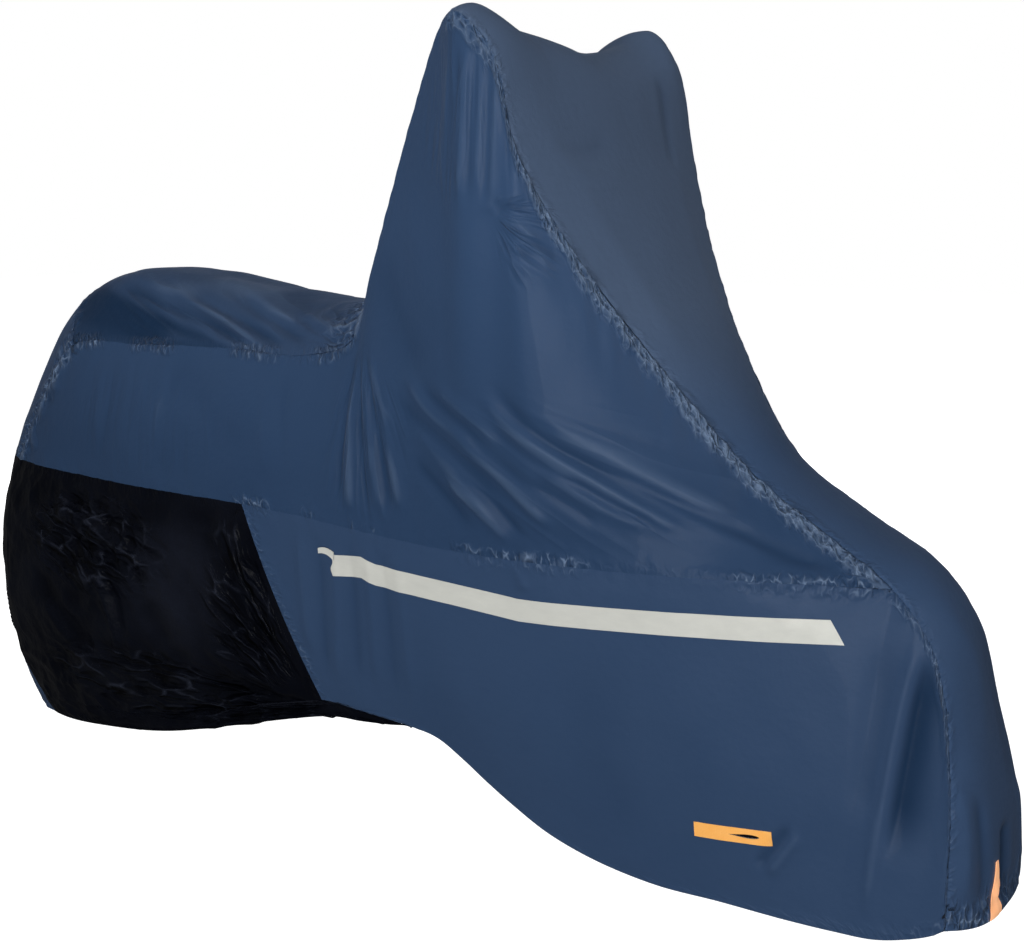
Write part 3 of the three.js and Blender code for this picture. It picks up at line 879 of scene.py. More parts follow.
    def puckers(self, pitch: float) -> tuple[Value, Value]:
        """Fine puckers beside the nearest seam, fading away from it.

        Args:
            pitch: Distance between puckers in metres.

        Returns:
            Height of the puckers and their sharp crests.
        """
        place, strength = self.flat_place("seam")
        height, crests = self.crumpled(place, 1 / pitch)
        return (height + 0.08) * strength, crests * strength

    def fine_folds(self) -> Value:
        """Fine folds of the cloth's fans, from below 0 in the hollows to 1 on the crests."""
        place, strength = self.flat_place("folds")
        return (self.ridged(place) - 0.35) * strength


@dataclass(frozen=True)
class Finish(ABC):
    """Finish of a material, with its name and main colour."""

    name: str
    colour: Colour

    @abstractmethod
    def surface(self, tree: ShaderTree) -> dict[str, Any]:
        """Inputs of the surface shader.

        Args:
            tree: Nodes of the material.

        Returns:
            Values or links of its sockets, by name.
        """

    def material(self) -> Material:
        """Makes the finish's material.

        Returns:
            The new material.
        """
        tree = ShaderTree(bpy.data.materials.new(self.name))
        shader = tree.node("ShaderNodeBsdfPrincipled", {}, self.surface(tree))
        tree.node("ShaderNodeOutputMaterial", {}, {"Surface": shader})
        return tree.owner


@dataclass(frozen=True)
class ClothFinish(Finish):
    """Coated nylon: fine plain weave, faint crinkle and a soft sheen, with painted shade and highlights on
    its folds.
    """

    name: str = "blue_coated_nylon"
    colour: Colour = (0.0228, 0.0472, 0.1015)
    worn: Colour = (0.0295, 0.0555, 0.112)
    # colours of the painted shade in troughs and the painted highlight on ridges
    painted_shade: Colour = (0.007, 0.022, 0.055)
    painted_highlight: Colour = (0.11, 0.16, 0.25)
    roughness: float = 0.42
    specular: float = 0.3
    sheen: float = 0.04
    pitch: float = 0.0012
    weave_height: float = 0.00006
    crinkle_height: float = 0.0014
    fold_height: float = 0.0032
    pucker_height: float = 0.0055
    pucker_pitch: float = 0.0105

    def ground(self, tree: ShaderTree, place: Value, share: Value) -> Value:
        """Colour of flat cloth, where the share tells how worn it is."""
        return tree.mixed(share, self.colour, self.worn)

    def surface(self, tree: ShaderTree) -> dict[str, Any]:
        """Inputs of the surface shader.

        Args:
            tree: Nodes of the material.

        Returns:
            Values or links of its sockets, by name.
        """
        place = tree.place()
        broad = tree.noise(place, scale=5.0, detail=3.0)
        crinkle = tree.noise(place, scale=75.0, detail=4.0, rough=0.55)
        weave = tree.weave(place, self.pitch)
        (puckers, crests), folds = tree.puckers(self.pucker_pitch), tree.fine_folds()
        relief, _, seam_highlight = tree.marked("relief")
        share = (broad * 0.8 + crinkle * 0.5 + weave * 0.3 - 0.3).clamped()
        plain = self.ground(tree, place, share)
        # painted shade: troughs of creases, fine folds and puckers are darkened in colour
        painted_shade_share = (relief * -1.0 - folds * 0.5 - puckers * 0.6).clamped()
        shaded = tree.mixed(painted_shade_share, plain, self.painted_shade)
        # painted highlight: ridges, crest lines and the seam bands are lightened in colour
        painted_highlight_share = (relief * 0.7 + folds * 0.4 + puckers * 0.9 + crests * 1.2 + seam_highlight * 0.6 - 0.15).clamped()
        colour = tree.mixed(painted_highlight_share, shaded, self.painted_highlight)
        gathered = tree.bump(puckers, self.pucker_height, strength=1.0)
        folded = tree.bump(folds, self.fold_height, strength=1.0, over=gathered)
        creased = tree.bump(crinkle, self.crinkle_height, strength=0.4, over=folded)
        woven = tree.bump(weave, self.weave_height, strength=0.5, over=creased)
        return {
            "Base Color": colour,
            "Roughness": self.roughness + 0.16 * (crinkle - 0.5),
            "Normal": woven,
            "Specular IOR Level": self.specular,
            "Sheen Weight": self.sheen,
            "Sheen Roughness": 0.45,
            "Sheen Tint": (0.62, 0.72, 0.95, 1),
        }


@dataclass(frozen=True)
class FrontFinish(ClothFinish):
    """The same nylon with painted sheen: greyer overall and paler from the shield upwards."""

    name: str = "front_coated_nylon"
    colour: Colour = (0.0285, 0.058, 0.122)
    worn: Colour = (0.036, 0.066, 0.132)
    painted_paler_top: Colour = (0.065, 0.1, 0.17)
    paling_start: float = -0.58
    paling_reach: float = 0.2

    def ground(self, tree: ShaderTree, place: Value, share: Value) -> Value:
        """Colour of flat cloth, with painted light that makes it paler from a height upwards."""
        height = (tree.axes(place)[2] - self.paling_start) / self.paling_reach
        return tree.mixed(height.clamped(), super().ground(tree, place, share), self.painted_paler_top)


@dataclass(frozen=True)
class SideFinish(FrontFinish):
    """The nylon of the upper sides, with painted shade that darkens it and painted light that makes it a
    little paler towards the bars.
    """

    name: str = "side_coated_nylon"
    colour: Colour = (0.0166, 0.0385, 0.0875)
    worn: Colour = (0.022, 0.0455, 0.0965)
    painted_paler_top: Colour = (0.0282, 0.058, 0.123)
    paling_start: float = -0.66
    paling_reach: float = 0.4


@dataclass(frozen=True)
class HeatFinish(Finish):
    """Heat-proof black cloth: a slick coat that crumples sharply."""

    name: str = "black_heat_cloth"
    colour: Colour = (0.0012, 0.0016, 0.0034)
    painted_sheen_and_tone: Colour = (0.0078, 0.0094, 0.0158)
    # colours of the painted shade in troughs and the painted highlight on crests
    painted_shade: Colour = (0.0004, 0.0005, 0.001)
    painted_highlight: Colour = (0.016, 0.019, 0.03)
    roughness: float = 0.34
    specular: float = 0.2
    pitch: float = 0.0014
    weave_height: float = 0.00006
    crumple_height: float = 0.02
    pucker_height: float = 0.006
    pucker_pitch: float = 0.014

    def surface(self, tree: ShaderTree) -> dict[str, Any]:
        """Inputs of the surface shader.

        Args:
            tree: Nodes of the material.

        Returns:
            Values or links of its sockets, by name.
        """
        place = tree.place()
        (fold_place, busy), (relief, smooth, _) = tree.flat_place("folds"), tree.marked("relief")
        wrinkles, lines = tree.crumpled(fold_place, 1.0)
        crumple = tree.noise(place, scale=14.0, detail=3.0) * 0.6 - 0.3 + wrinkles * busy
        broad = tree.noise(place, scale=7.0, detail=2.0)
        weave = tree.weave(place, self.pitch)
        puckers, crests = tree.puckers(self.pucker_pitch)
        # random tone, with painted sheen over the smooth patch that the relief mark carries
        painted_sheen_and_tone = (broad * 0.8 + weave * 0.2 + smooth * 0.7 - 0.4).clamped()
        plain = tree.mixed(painted_sheen_and_tone, self.colour, self.painted_sheen_and_tone)
        # painted shade and highlight: this height only colours the cloth, darker in troughs and lighter on
        # ridges and crest lines
        height = relief * 0.4 + puckers * 0.8 + crumple
        shaded = tree.mixed((height * -1.2).clamped(), plain, self.painted_shade)
        painted_highlight_share = (height * 0.5 + lines * busy * 0.9 + crests * 0.4 - 0.15).clamped()
        colour = tree.mixed(painted_highlight_share, shaded, self.painted_highlight)
        gathered = tree.bump(puckers, self.pucker_height, strength=1.0)
        creased = tree.bump(crumple, self.crumple_height, strength=1.0, over=gathered)
        woven = tree.bump(weave, self.weave_height, strength=0.4, over=creased)
        return {
            "Base Color": colour,
            "Roughness": self.roughness + 0.25 * (broad - 0.5),
            "Normal": woven,
            "Specular IOR Level": self.specular,
        }


@dataclass(frozen=True)
class LiningFinish(Finish):
    """Dark waterproof coat on the inside of the cloth."""

    name: str = "inside_coat"
    colour: Colour = (0.006, 0.007, 0.011)
    mottled: float = 1.6

    def surface(self, tree: ShaderTree) -> dict[str, Any]:
        """Inputs of the surface shader.

        Args:
            tree: Nodes of the material.

        Returns:
            Values or links of its sockets, by name.
        """
        place = tree.place()
        mottle = tree.noise(place, scale=60.0, detail=3.0)
        colour = tree.mixed(mottle, self.colour, tuple(self.mottled * c for c in self.colour))
        return {
            "Base Color": colour,
            "Roughness": 0.5 + 0.2 * mottle,
            "Normal": tree.bump(mottle, distance=0.0008, strength=0.3),
            "Specular IOR Level": 0.25,
        }


@dataclass(frozen=True)
class TapeFinish(Finish):
    """Silver reflective tape: fine glass beads on a satin ground, a little scuffed."""

    name: str = "silver_tape"
    colour: Colour = (0.62, 0.625, 0.58)
    scuffed: Colour = (0.54, 0.545, 0.51)
    beads_per_metre: float = 900.0

    def surface(self, tree: ShaderTree) -> dict[str, Any]:
        """Inputs of the surface shader.

        Args:
            tree: Nodes of the material.

        Returns:
            Values or links of its sockets, by name.
        """
        place = tree.place()
        scuff = tree.noise(tree.stretched(place, (1, 3, 3)), scale=22.0, detail=4.0, rough=0.65)
        beads = tree.cells(place, self.beads_per_metre, {})
        colour = tree.mixed((scuff * 1.5 - 0.35).clamped(), self.colour, self.scuffed)
        return {
            "Base Color": colour,
            "Roughness": 0.34 + 0.2 * scuff,
            "Normal": tree.bump(beads, distance=0.00012, strength=0.5),
            "Metallic": 0.15,
        }


@dataclass(frozen=True)
class WebbingFinish(Finish):
    """Bright orange webbing with a coarse ribbed weave; its glow, where set, is painted light."""

    name: str = "orange_webbing"
    colour: Colour = (0.89, 0.39, 0.075)
    faded: Colour = (0.94, 0.49, 0.15)
    glow: float = 0.0
    pitch: float = 0.0022

    def surface(self, tree: ShaderTree) -> dict[str, Any]:
        """Inputs of the surface shader.

        Args:
            tree: Nodes of the material.

        Returns:
            Values or links of its sockets, by name.
        """
        place = tree.place()
        weave = tree.weave(place, self.pitch)
        fade = tree.noise(place, scale=60.0, detail=3.0)
        colour = tree.mixed((fade + weave * 0.4 - 0.2).clamped(), self.colour, self.faded)
        return {
            "Base Color": colour,
            "Roughness": 0.6 + 0.2 * (fade - 0.5),
            "Normal": tree.bump(weave, distance=0.0003, strength=0.6),
            # painted light: the emission makes the webbing glow though it is no lamp
            "Emission Color": colour,
            "Emission Strength": self.glow,
            "Sheen Weight": 0.2,
        }


@dataclass(frozen=True)
class FloorFinish(Finish):
    """Plain pale floor, bright enough to read as white paper."""

    name: str = "pale_floor"
    colour: Colour = (0.34, 0.34, 0.34)
    paler: Colour = (0.38, 0.38, 0.38)
    glow: float = 1.0

    def surface(self, tree: ShaderTree) -> dict[str, Any]:
        """Inputs of the surface shader.

        Args:
            tree: Nodes of the material.

        Returns:
            Values or links of its sockets, by name.
        """
        tone = tree.noise(tree.place(), scale=2.0, detail=2.0)
        return {
            "Base Color": tree.mixed(tone, self.colour, self.paler),
            "Roughness": 0.7 + 0.1 * tone,
            "Specular IOR Level": 0.2,
            "Emission Color": WHITE,
            "Emission Strength": self.glow,
        }


class Finishes:
    """The cover's materials, each made once."""

    def __init__(self) -> None:
        """Starts with none made."""
        self._made: dict[str, Material] = {}

    def __getitem__(self, finish: Finish) -> Material:
        """Material of a finish.

        Args:
            finish: Finish, known by its name.

        Returns:
            The material, made when it is first asked for.
        """
        if finish.name not in self._made:
            self._made[finish.name] = finish.material()
        return self._made[finish.name]


@dataclass(frozen=True)
class Piece:
    """Shown sheet that stands for one node of the frame; it is cut to a flat size and area, in metres."""

    node: str
    slot: str
    flat: tuple[float, float]
    area: float
    held: str
    rests_on: tuple[str, ...] = ()

    def show(self, mesh: Mesh, materials: Sequence[Material]) -> Object:
        """Puts the finished mesh in the scene and ties it to the frame.

        Args:
            mesh: Mesh in the row's frame.
            materials: Materials in the order of their numbers on the faces.

        Returns:
            The shown object.
        """
        shown = placed(f"{self.node}_cloth", mesh)
        for material in materials:
            mesh.materials.append(material)
        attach(shown, "root")
        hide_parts(self.node)
        LOG.info("%s: %d faces", shown.name, len(mesh.polygons))
        return shown


@dataclass(frozen=True)
class Draped:
    """Grid of a draped panel, with the marks at each point for its finish.

    The marks are the place beside the nearest seam, the place in a fan of fine folds, and the relief.
    The relief's crease height is painted as shade in troughs and highlight on ridges; it also
    carries the black cloth's painted sheen patch and the painted seam highlight.
    """

    points: Array
    marks: Marks

    def on(self, side: Side) -> "Draped":
        """The panel for one half.

        Args:
            side: Half of the cover.

        Returns:
            The same panel, or its mirror image for the left half.
        """
        if side is Side.RIGHT:
            return self
        turned = {name: grid[:, ::-1] for name, grid in self.marks.items()}
        return Draped((self.points * np.array([1, -1, 1]))[:, ::-1], turned)


@dataclass
class ClothPanel:
    """Sewn panel: a smooth draped form with creases, puckers and a little unevenness."""

    shape: CoverShape
    finishes: Finishes
    thick: float = 0.8
    turn_in: float = 5.0
    sway: float = 2.2
    sway_length: float = 150.0
    ripple: float = 0.4
    ripple_length: Place = (55, 55, 75)
    seam_fade: float = 38.0
    # crease height at which the painted shade and highlight are full, and the highest share of painted
    # highlight
    full_relief: float = 12.0
    highlight_limit: float = 0.4

    @staticmethod
    def _gathered(
        uneven: Unevenness, points: Array, section: Array, gathers: Sequence[Gather]
    ) -> tuple[Array, Array, Array]:
        """Puckers of all the panel's seams.

        Args:
            uneven: Noise that places the puckers.
            points: Grid of points of the smooth form.
            section: Section number of each point.
            gathers: Puckers along the panel's edges.

        Returns:
            Height of the puckers; the place beside the strongest seam, with a strength that fades where
            two seams meet; and the strength of the painted seam highlight.
        """
        height, rival, seam_highlight = (np.zeros(section.shape) for _ in range(3))
        seam = np.zeros(points.shape)
        for gather in gathers:
            # worn is the painted seam highlight of this gather
            lift, field, worn = gather.lift(uneven, points, section)
            height = height + lift
            stronger = field[..., 2] > seam[..., 2]
            rival = np.where(stronger, seam[..., 2], np.maximum(rival, field[..., 2]))
            seam = np.where(stronger[..., None], field, seam)
            seam_highlight = np.maximum(seam_highlight, worn)
        seam[..., 2] *= smoothstep(3 * (1 - rival / np.maximum(seam[..., 2], 1e-9)))
        return height, seam, seam_highlight

    @staticmethod
    def _folded(points: Array, fans: Sequence[Fan]) -> Array:
        """Place of each point in its nearest fan of a side view.

        Args:
            points: Grid of points of the smooth form.
            fans: Fine folds of the panel.

        Returns:
            Place across the folds and along them, with a strength that fades where two fans meet.
        """
        outside = 9.0
        folds = np.zeros(points.shape)
        nearest = np.full(points.shape[:-1], outside)
        rival = 2 * nearest
        for fan in fans:
            field, out = fan.field(points[..., 0], points[..., 2])
            rival = np.where(out < nearest, nearest, np.minimum(rival, out))
            folds = np.where((out < nearest)[..., None], field, folds)
            nearest = np.minimum(out, nearest)
        folds[..., 2] *= smoothstep(4 * (rival - nearest))
        return folds

    def relieved(
        self,
        points: Array,
        section: Array,
        gathers: Sequence[Gather],
        creased: Array,
        seed: int,
        fans: Sequence[Fan] = (),
    ) -> Draped:
        """Adds the cloth's relief to a panel's smooth grid.

        Args:
            points: Grid of points of the smooth form.
            section: Section number of each point.
            gathers: Puckers along the panel's edges.
            creased: Height of the panel's own creases at each point.
            seed: Seed of the panel's unevenness.
            fans: Fine folds of the panel.

        Returns:
            Grid of points of the draped cloth, with its marks.
        """
        uneven = Unevenness(seed)
        nearest = np.min([edge_field(points, edge)[1] for edge in Edge], axis=0)
        fade = smoothstep(nearest / self.seam_fade)
        sway = uneven(*np.moveaxis(points / self.sway_length, -1, 0))
        ripple = uneven(*np.moveaxis(points / self.ripple_length, -1, 0))
        gathered, seam, seam_highlight = self._gathered(uneven, points, section, gathers)
        lift = (self.sway * sway + self.ripple * self.sway * ripple + creased) * fade + gathered
        folds = self._folded(points, fans)
        folds[..., 2] *= fade
        # relief mark: crease height that the finishes paint as shade in troughs and highlight on ridges
        height = np.clip(creased * fade / self.full_relief, -1, self.highlight_limit)
        relief = np.stack([height, np.zeros_like(fade), seam_highlight], axis=-1)
        marks = {"seam": seam, "folds": folds, "relief": relief}
        return Draped(points + outward_normals(points) * lift[..., None], marks)

    def sewn(
        self, piece: Piece, draped: Draped, finish: Finish, behind: Sequence[Mesh] = ()
    ) -> Object:
        """Closed sheet on a grid, with its edges turned in at the seams.

        Args:
            piece: Piece that the sheet is shown as.
            draped: Grid of the panel, with its marks.
            finish: Finish of its outside.
            behind: Further meshes of the same piece that lie behind it.

        Returns:
            The shown object.
        """
        mesh = sheet_mesh(piece.node, draped.points, self.thick, self.turn_in, marks=draped.marks)
        if behind:
            mesh = joined(piece.node, [mesh, *behind])
        return piece.show(mesh, [self.finishes[finish], self.finishes[LiningFinish()]])


def even_sections(
    first: float,
    last: float,
    count: int,
    points_at: Line,
    density: Pairs = ((0, 1),),
) -> Array:
    """Section numbers that are spaced by length.

    Args:
        first: First section number.
        last: Last section number.
        count: How many numbers.
        points_at: Function from section numbers to the points whose spacing counts.
        density: How close the numbers are along stretches of sections, from one stretch to the next.

    Returns:
        The section numbers.
    """
    fine = np.linspace(first, last, FINE_STEPS)
    steps = np.linalg.norm(np.diff(points_at(fine), axis=0), axis=-1)
    steps = (steps + ADDED_STEP) * np.interp(fine[1:], *zip(*density))
    length = np.concatenate([[0], np.cumsum(steps)])
    return np.interp(np.linspace(0, length[-1], count), length, fine)


def oval(x: Array, z: Array, middle: Sequence[float], reach: Sequence[float]) -> Array:
    """Squared distance from the middle of an oval patch of a side view, 1 on its edge."""
    return ((x - middle[0]) / reach[0]) ** 2 + ((z - middle[1]) / reach[1]) ** 2


def fineness(side: Side, columns: int, rows: int) -> tuple[int, int]:
    """Columns and rows of a side panel; the left half, which mirrors the right one, takes fewer."""
    share = 1 if side is Side.RIGHT else LEFT_FINENESS
    return int(share * columns), int(share * rows)


@dataclass
class CentreStrip(ClothPanel):
    """The strip over the middle: front panel, saddle panel and tail panel."""

    seam_fade: float = 18.0
    sway: float = 1.3
    measured_at: float = 0.6
    # painted shade on the saddle's flank, and the limit of painted highlight on its creases
    shade_start: tuple[float, float] = (-716, 912)
    shade_slope: float = 0.223
    shade_depth: float = 0.65
    shade_fade: float = 16.0
    shade_end: float = -330.0
    shade_end_fade: float = 60.0
    saddle_highlight_limit: float = 0.24
    saddle_blend: float = 60.0
    left_shift: float = 70.0
    left_share: float = 0.6
    front_seam: Pairs = (
        (6, 0.8), (7, 0.3), (9, 0.3), (9.6, 1.1), (11, 1), (12, 0.5), (14, 0.6), (17, 0.6), (19, 0.5),
        (21, 0.9),
    )
    saddle_seam: Pairs = (
        (2, 1), (2.5, 1), (2.65, 0.1), (3, 0.1), (3.1, 1), (3.35, 1), (3.5, 0.1), (3.9, 0.1), (4, 0.9),
        (4.45, 0.8), (4.6, 0.15), (5, 0.3), (5.3, 1), (6, 1.2),
    )
    saddle_creases: tuple[Crease, ...] = crease_rows(
        (((-760, 944), (-620, 918), (-500, 890), (-420, 868), (-330, 842)), 15, 5.5, 0.15, 0.45),
        (((-735, 924), (-606, 899), (-493, 874), (-420, 855), (-345, 834)), 9, -7, 0.15),
        (((-580, 905), (-480, 884), (-400, 862), (-330, 840)), 7, 4),
        (((-560, 918), (-475, 893), (-380, 867), (-275, 838)), 8, -7, 0.2),
        (((-870, 890), (-730, 882), (-610, 858), (-510, 836)), 30, -8),
        (((-560, 942), (-440, 918), (-340, 890), (-240, 862), (-150, 844)), 15, 6, 0.15, 0.4),
        (((-460, 908), (-380, 890), (-310, 868), (-230, 846)), 8, -5),
        (((-400, 930), (-310, 903), (-225, 880)), 12, -5),
        (((-310, 886), (-240, 866), (-190, 854), (-145, 846)), 8, -6),
        (((-300, 893), (-235, 876), (-165, 862)), 8, 5),
        (((-255, 905), (-215, 892), (-165, 900)), 9, -4),
    )
    saddle_fans: tuple[Fan, ...] = (
        Fan((-1500, 1210), (-480, 885), (300, 75), 27, 1.0, 9),
        Fan((-130, 850), (-235, 875), (80, 45), 16, 0.45, 5),
    )
    front_creases: tuple[Crease, ...] = crease_rows(
        (((-205, 1235), (-150, 1100), (-105, 960), (-70, 800)), 30, 1.5),
        (((205, 1235), (150, 1100), (105, 960), (70, 800)), 30, 1.5),
        (((190, 1280), (170, 1200), (150, 1110)), 16, -3),
        (((-190, 1160), (-120, 1150), (-40, 1165)), 12, -1.5),
        (((-170, 1120), (-100, 1108), (-20, 1120)), 13, 1.5),
        (((-60, 560), (-20, 460), (-30, 330)), 26, 2.5),
        (((30, 520), (50, 400), (40, 250)), 26, -2.5),
        (((-105, 330), (-110, 230), (-120, 130)), 13, 2.5),
        (((-80, 300), (-82, 200), (-86, 120)), 12, -4),
        (((70, 280), (75, 190), (80, 120)), 13, 4),
        (((-8, 235), (-12, 170), (-15, 108)), 14, -8, 0.15),
    )

    def _panel(self, first: float, last: float, columns: int, rows: int) -> tuple[Array, Array]:
        """Smooth grid of the strip between two sections.

        Args:
            first: First section number.
            last: Last section number.
            columns: Number of columns.
            rows: Number of rows.

        Returns:
            Grid of points and the section number of each.
        """
        line = np.full(FINE_STEPS, self.measured_at)
        even = even_sections(first, last, columns, lambda s: self.shape.strip(s, line))
        section, side = np.meshgrid(even, 2 * dense_at_ends(rows) - 1, indexing="ij")
        return self.shape.strip(section, side), section

    def front(self) -> Object:
        """Front panel, from the notch behind the bars over the ridge and down to the front hem.

        Returns:
            The shown object.
        """
        points, section = self._panel(NUMBER["notch"], LAST, columns=400, rows=84)
        gathers = [
            Gather(Edge.FIRST_ROW, 1.0, 14, 12, self.front_seam),
            Gather(Edge.LAST_ROW, 2.0, 14, 12, self.front_seam, groove=1.5),
            Gather(Edge.FIRST_COLUMN, 3.4, 13, 34),
            Gather(Edge.LAST_COLUMN, 4.0, 13, 40),
        ]
        ahead = smoothstep((section - NUMBER["ridge"]) * 2)
        creased = ahead * sum(c.lift(points[..., 1], points[..., 2]) for c in self.front_creases)
        piece = Piece("front_panel", "blue_cloth", (0.64, 2.0), 0.68, "draped")
        return self.sewn(piece, self.relieved(points, section, gathers, creased, 11), FrontFinish())

    def saddle(self) -> None:
        """Saddle panel over the seat."""
        points, section = self._panel(NUMBER["seat_rear"], NUMBER["notch"], columns=200, rows=136)
        gathers = [
            Gather(Edge.FIRST_ROW, 3.0, 14, 15, self.saddle_seam, grain=(1.3, 0.35)),
            Gather(Edge.LAST_ROW, 4.5, 14, 15, self.saddle_seam, grain=(1.3, 0.35)),
            Gather(Edge.FIRST_COLUMN, 1.6),
            Gather(Edge.LAST_COLUMN, 5.0, 16, 50),
        ]
        x, y, z = np.moveaxis(points, -1, 0)
        right = sum(c.lift(x, z) for c in self.saddle_creases)
        left = self.left_share * sum(c.lift(x + self.left_shift, z) for c in self.saddle_creases)
        creased = right * smoothstep(-y / self.saddle_blend) + left * smoothstep(y / self.saddle_blend)
        piece = Piece("saddle_panel", "blue_cloth", (0.5, 0.74), 0.3, "draped")
        draped = self.relieved(points, section, gathers, creased, 12, self.saddle_fans)
        # painted shade: the flank below a sloping line, towards the rear, is darkened in colour through the
        # relief mark
        below = self.shade_start[1] - self.shade_slope * (x - self.shade_start[0]) - z
        behind = smoothstep((self.shade_end - x) / self.shade_end_fade)
        shade = self.shade_depth * smoothstep(below / self.shade_fade) * behind
        relief = draped.marks["relief"]
        relief[..., 0] = np.minimum(relief[..., 0], self.saddle_highlight_limit) - shade
        self.sewn(piece, draped, ClothFinish())

    def tail(self) -> None:
        """Tail panel, from the back of the seat down to the heat panels."""
        points, section = self._panel(0, NUMBER["seat_rear"], columns=110, rows=96)
        gathers = [
            Gather(Edge.FIRST_ROW, 6.0, 20, 34),
            Gather(Edge.LAST_ROW, 7.0, 20, 34),
            Gather(Edge.FIRST_COLUMN, 2.2),
            Gather(Edge.LAST_COLUMN, 1.6),
        ]
        piece = Piece("tail_panel", "blue_cloth", (0.46, 0.4), 0.145, "hung", ("saddle_panel_cloth",))
        flat = np.zeros(section.shape)
        self.sewn(piece, self.relieved(points, section, gathers, flat, 13), ClothFinish())


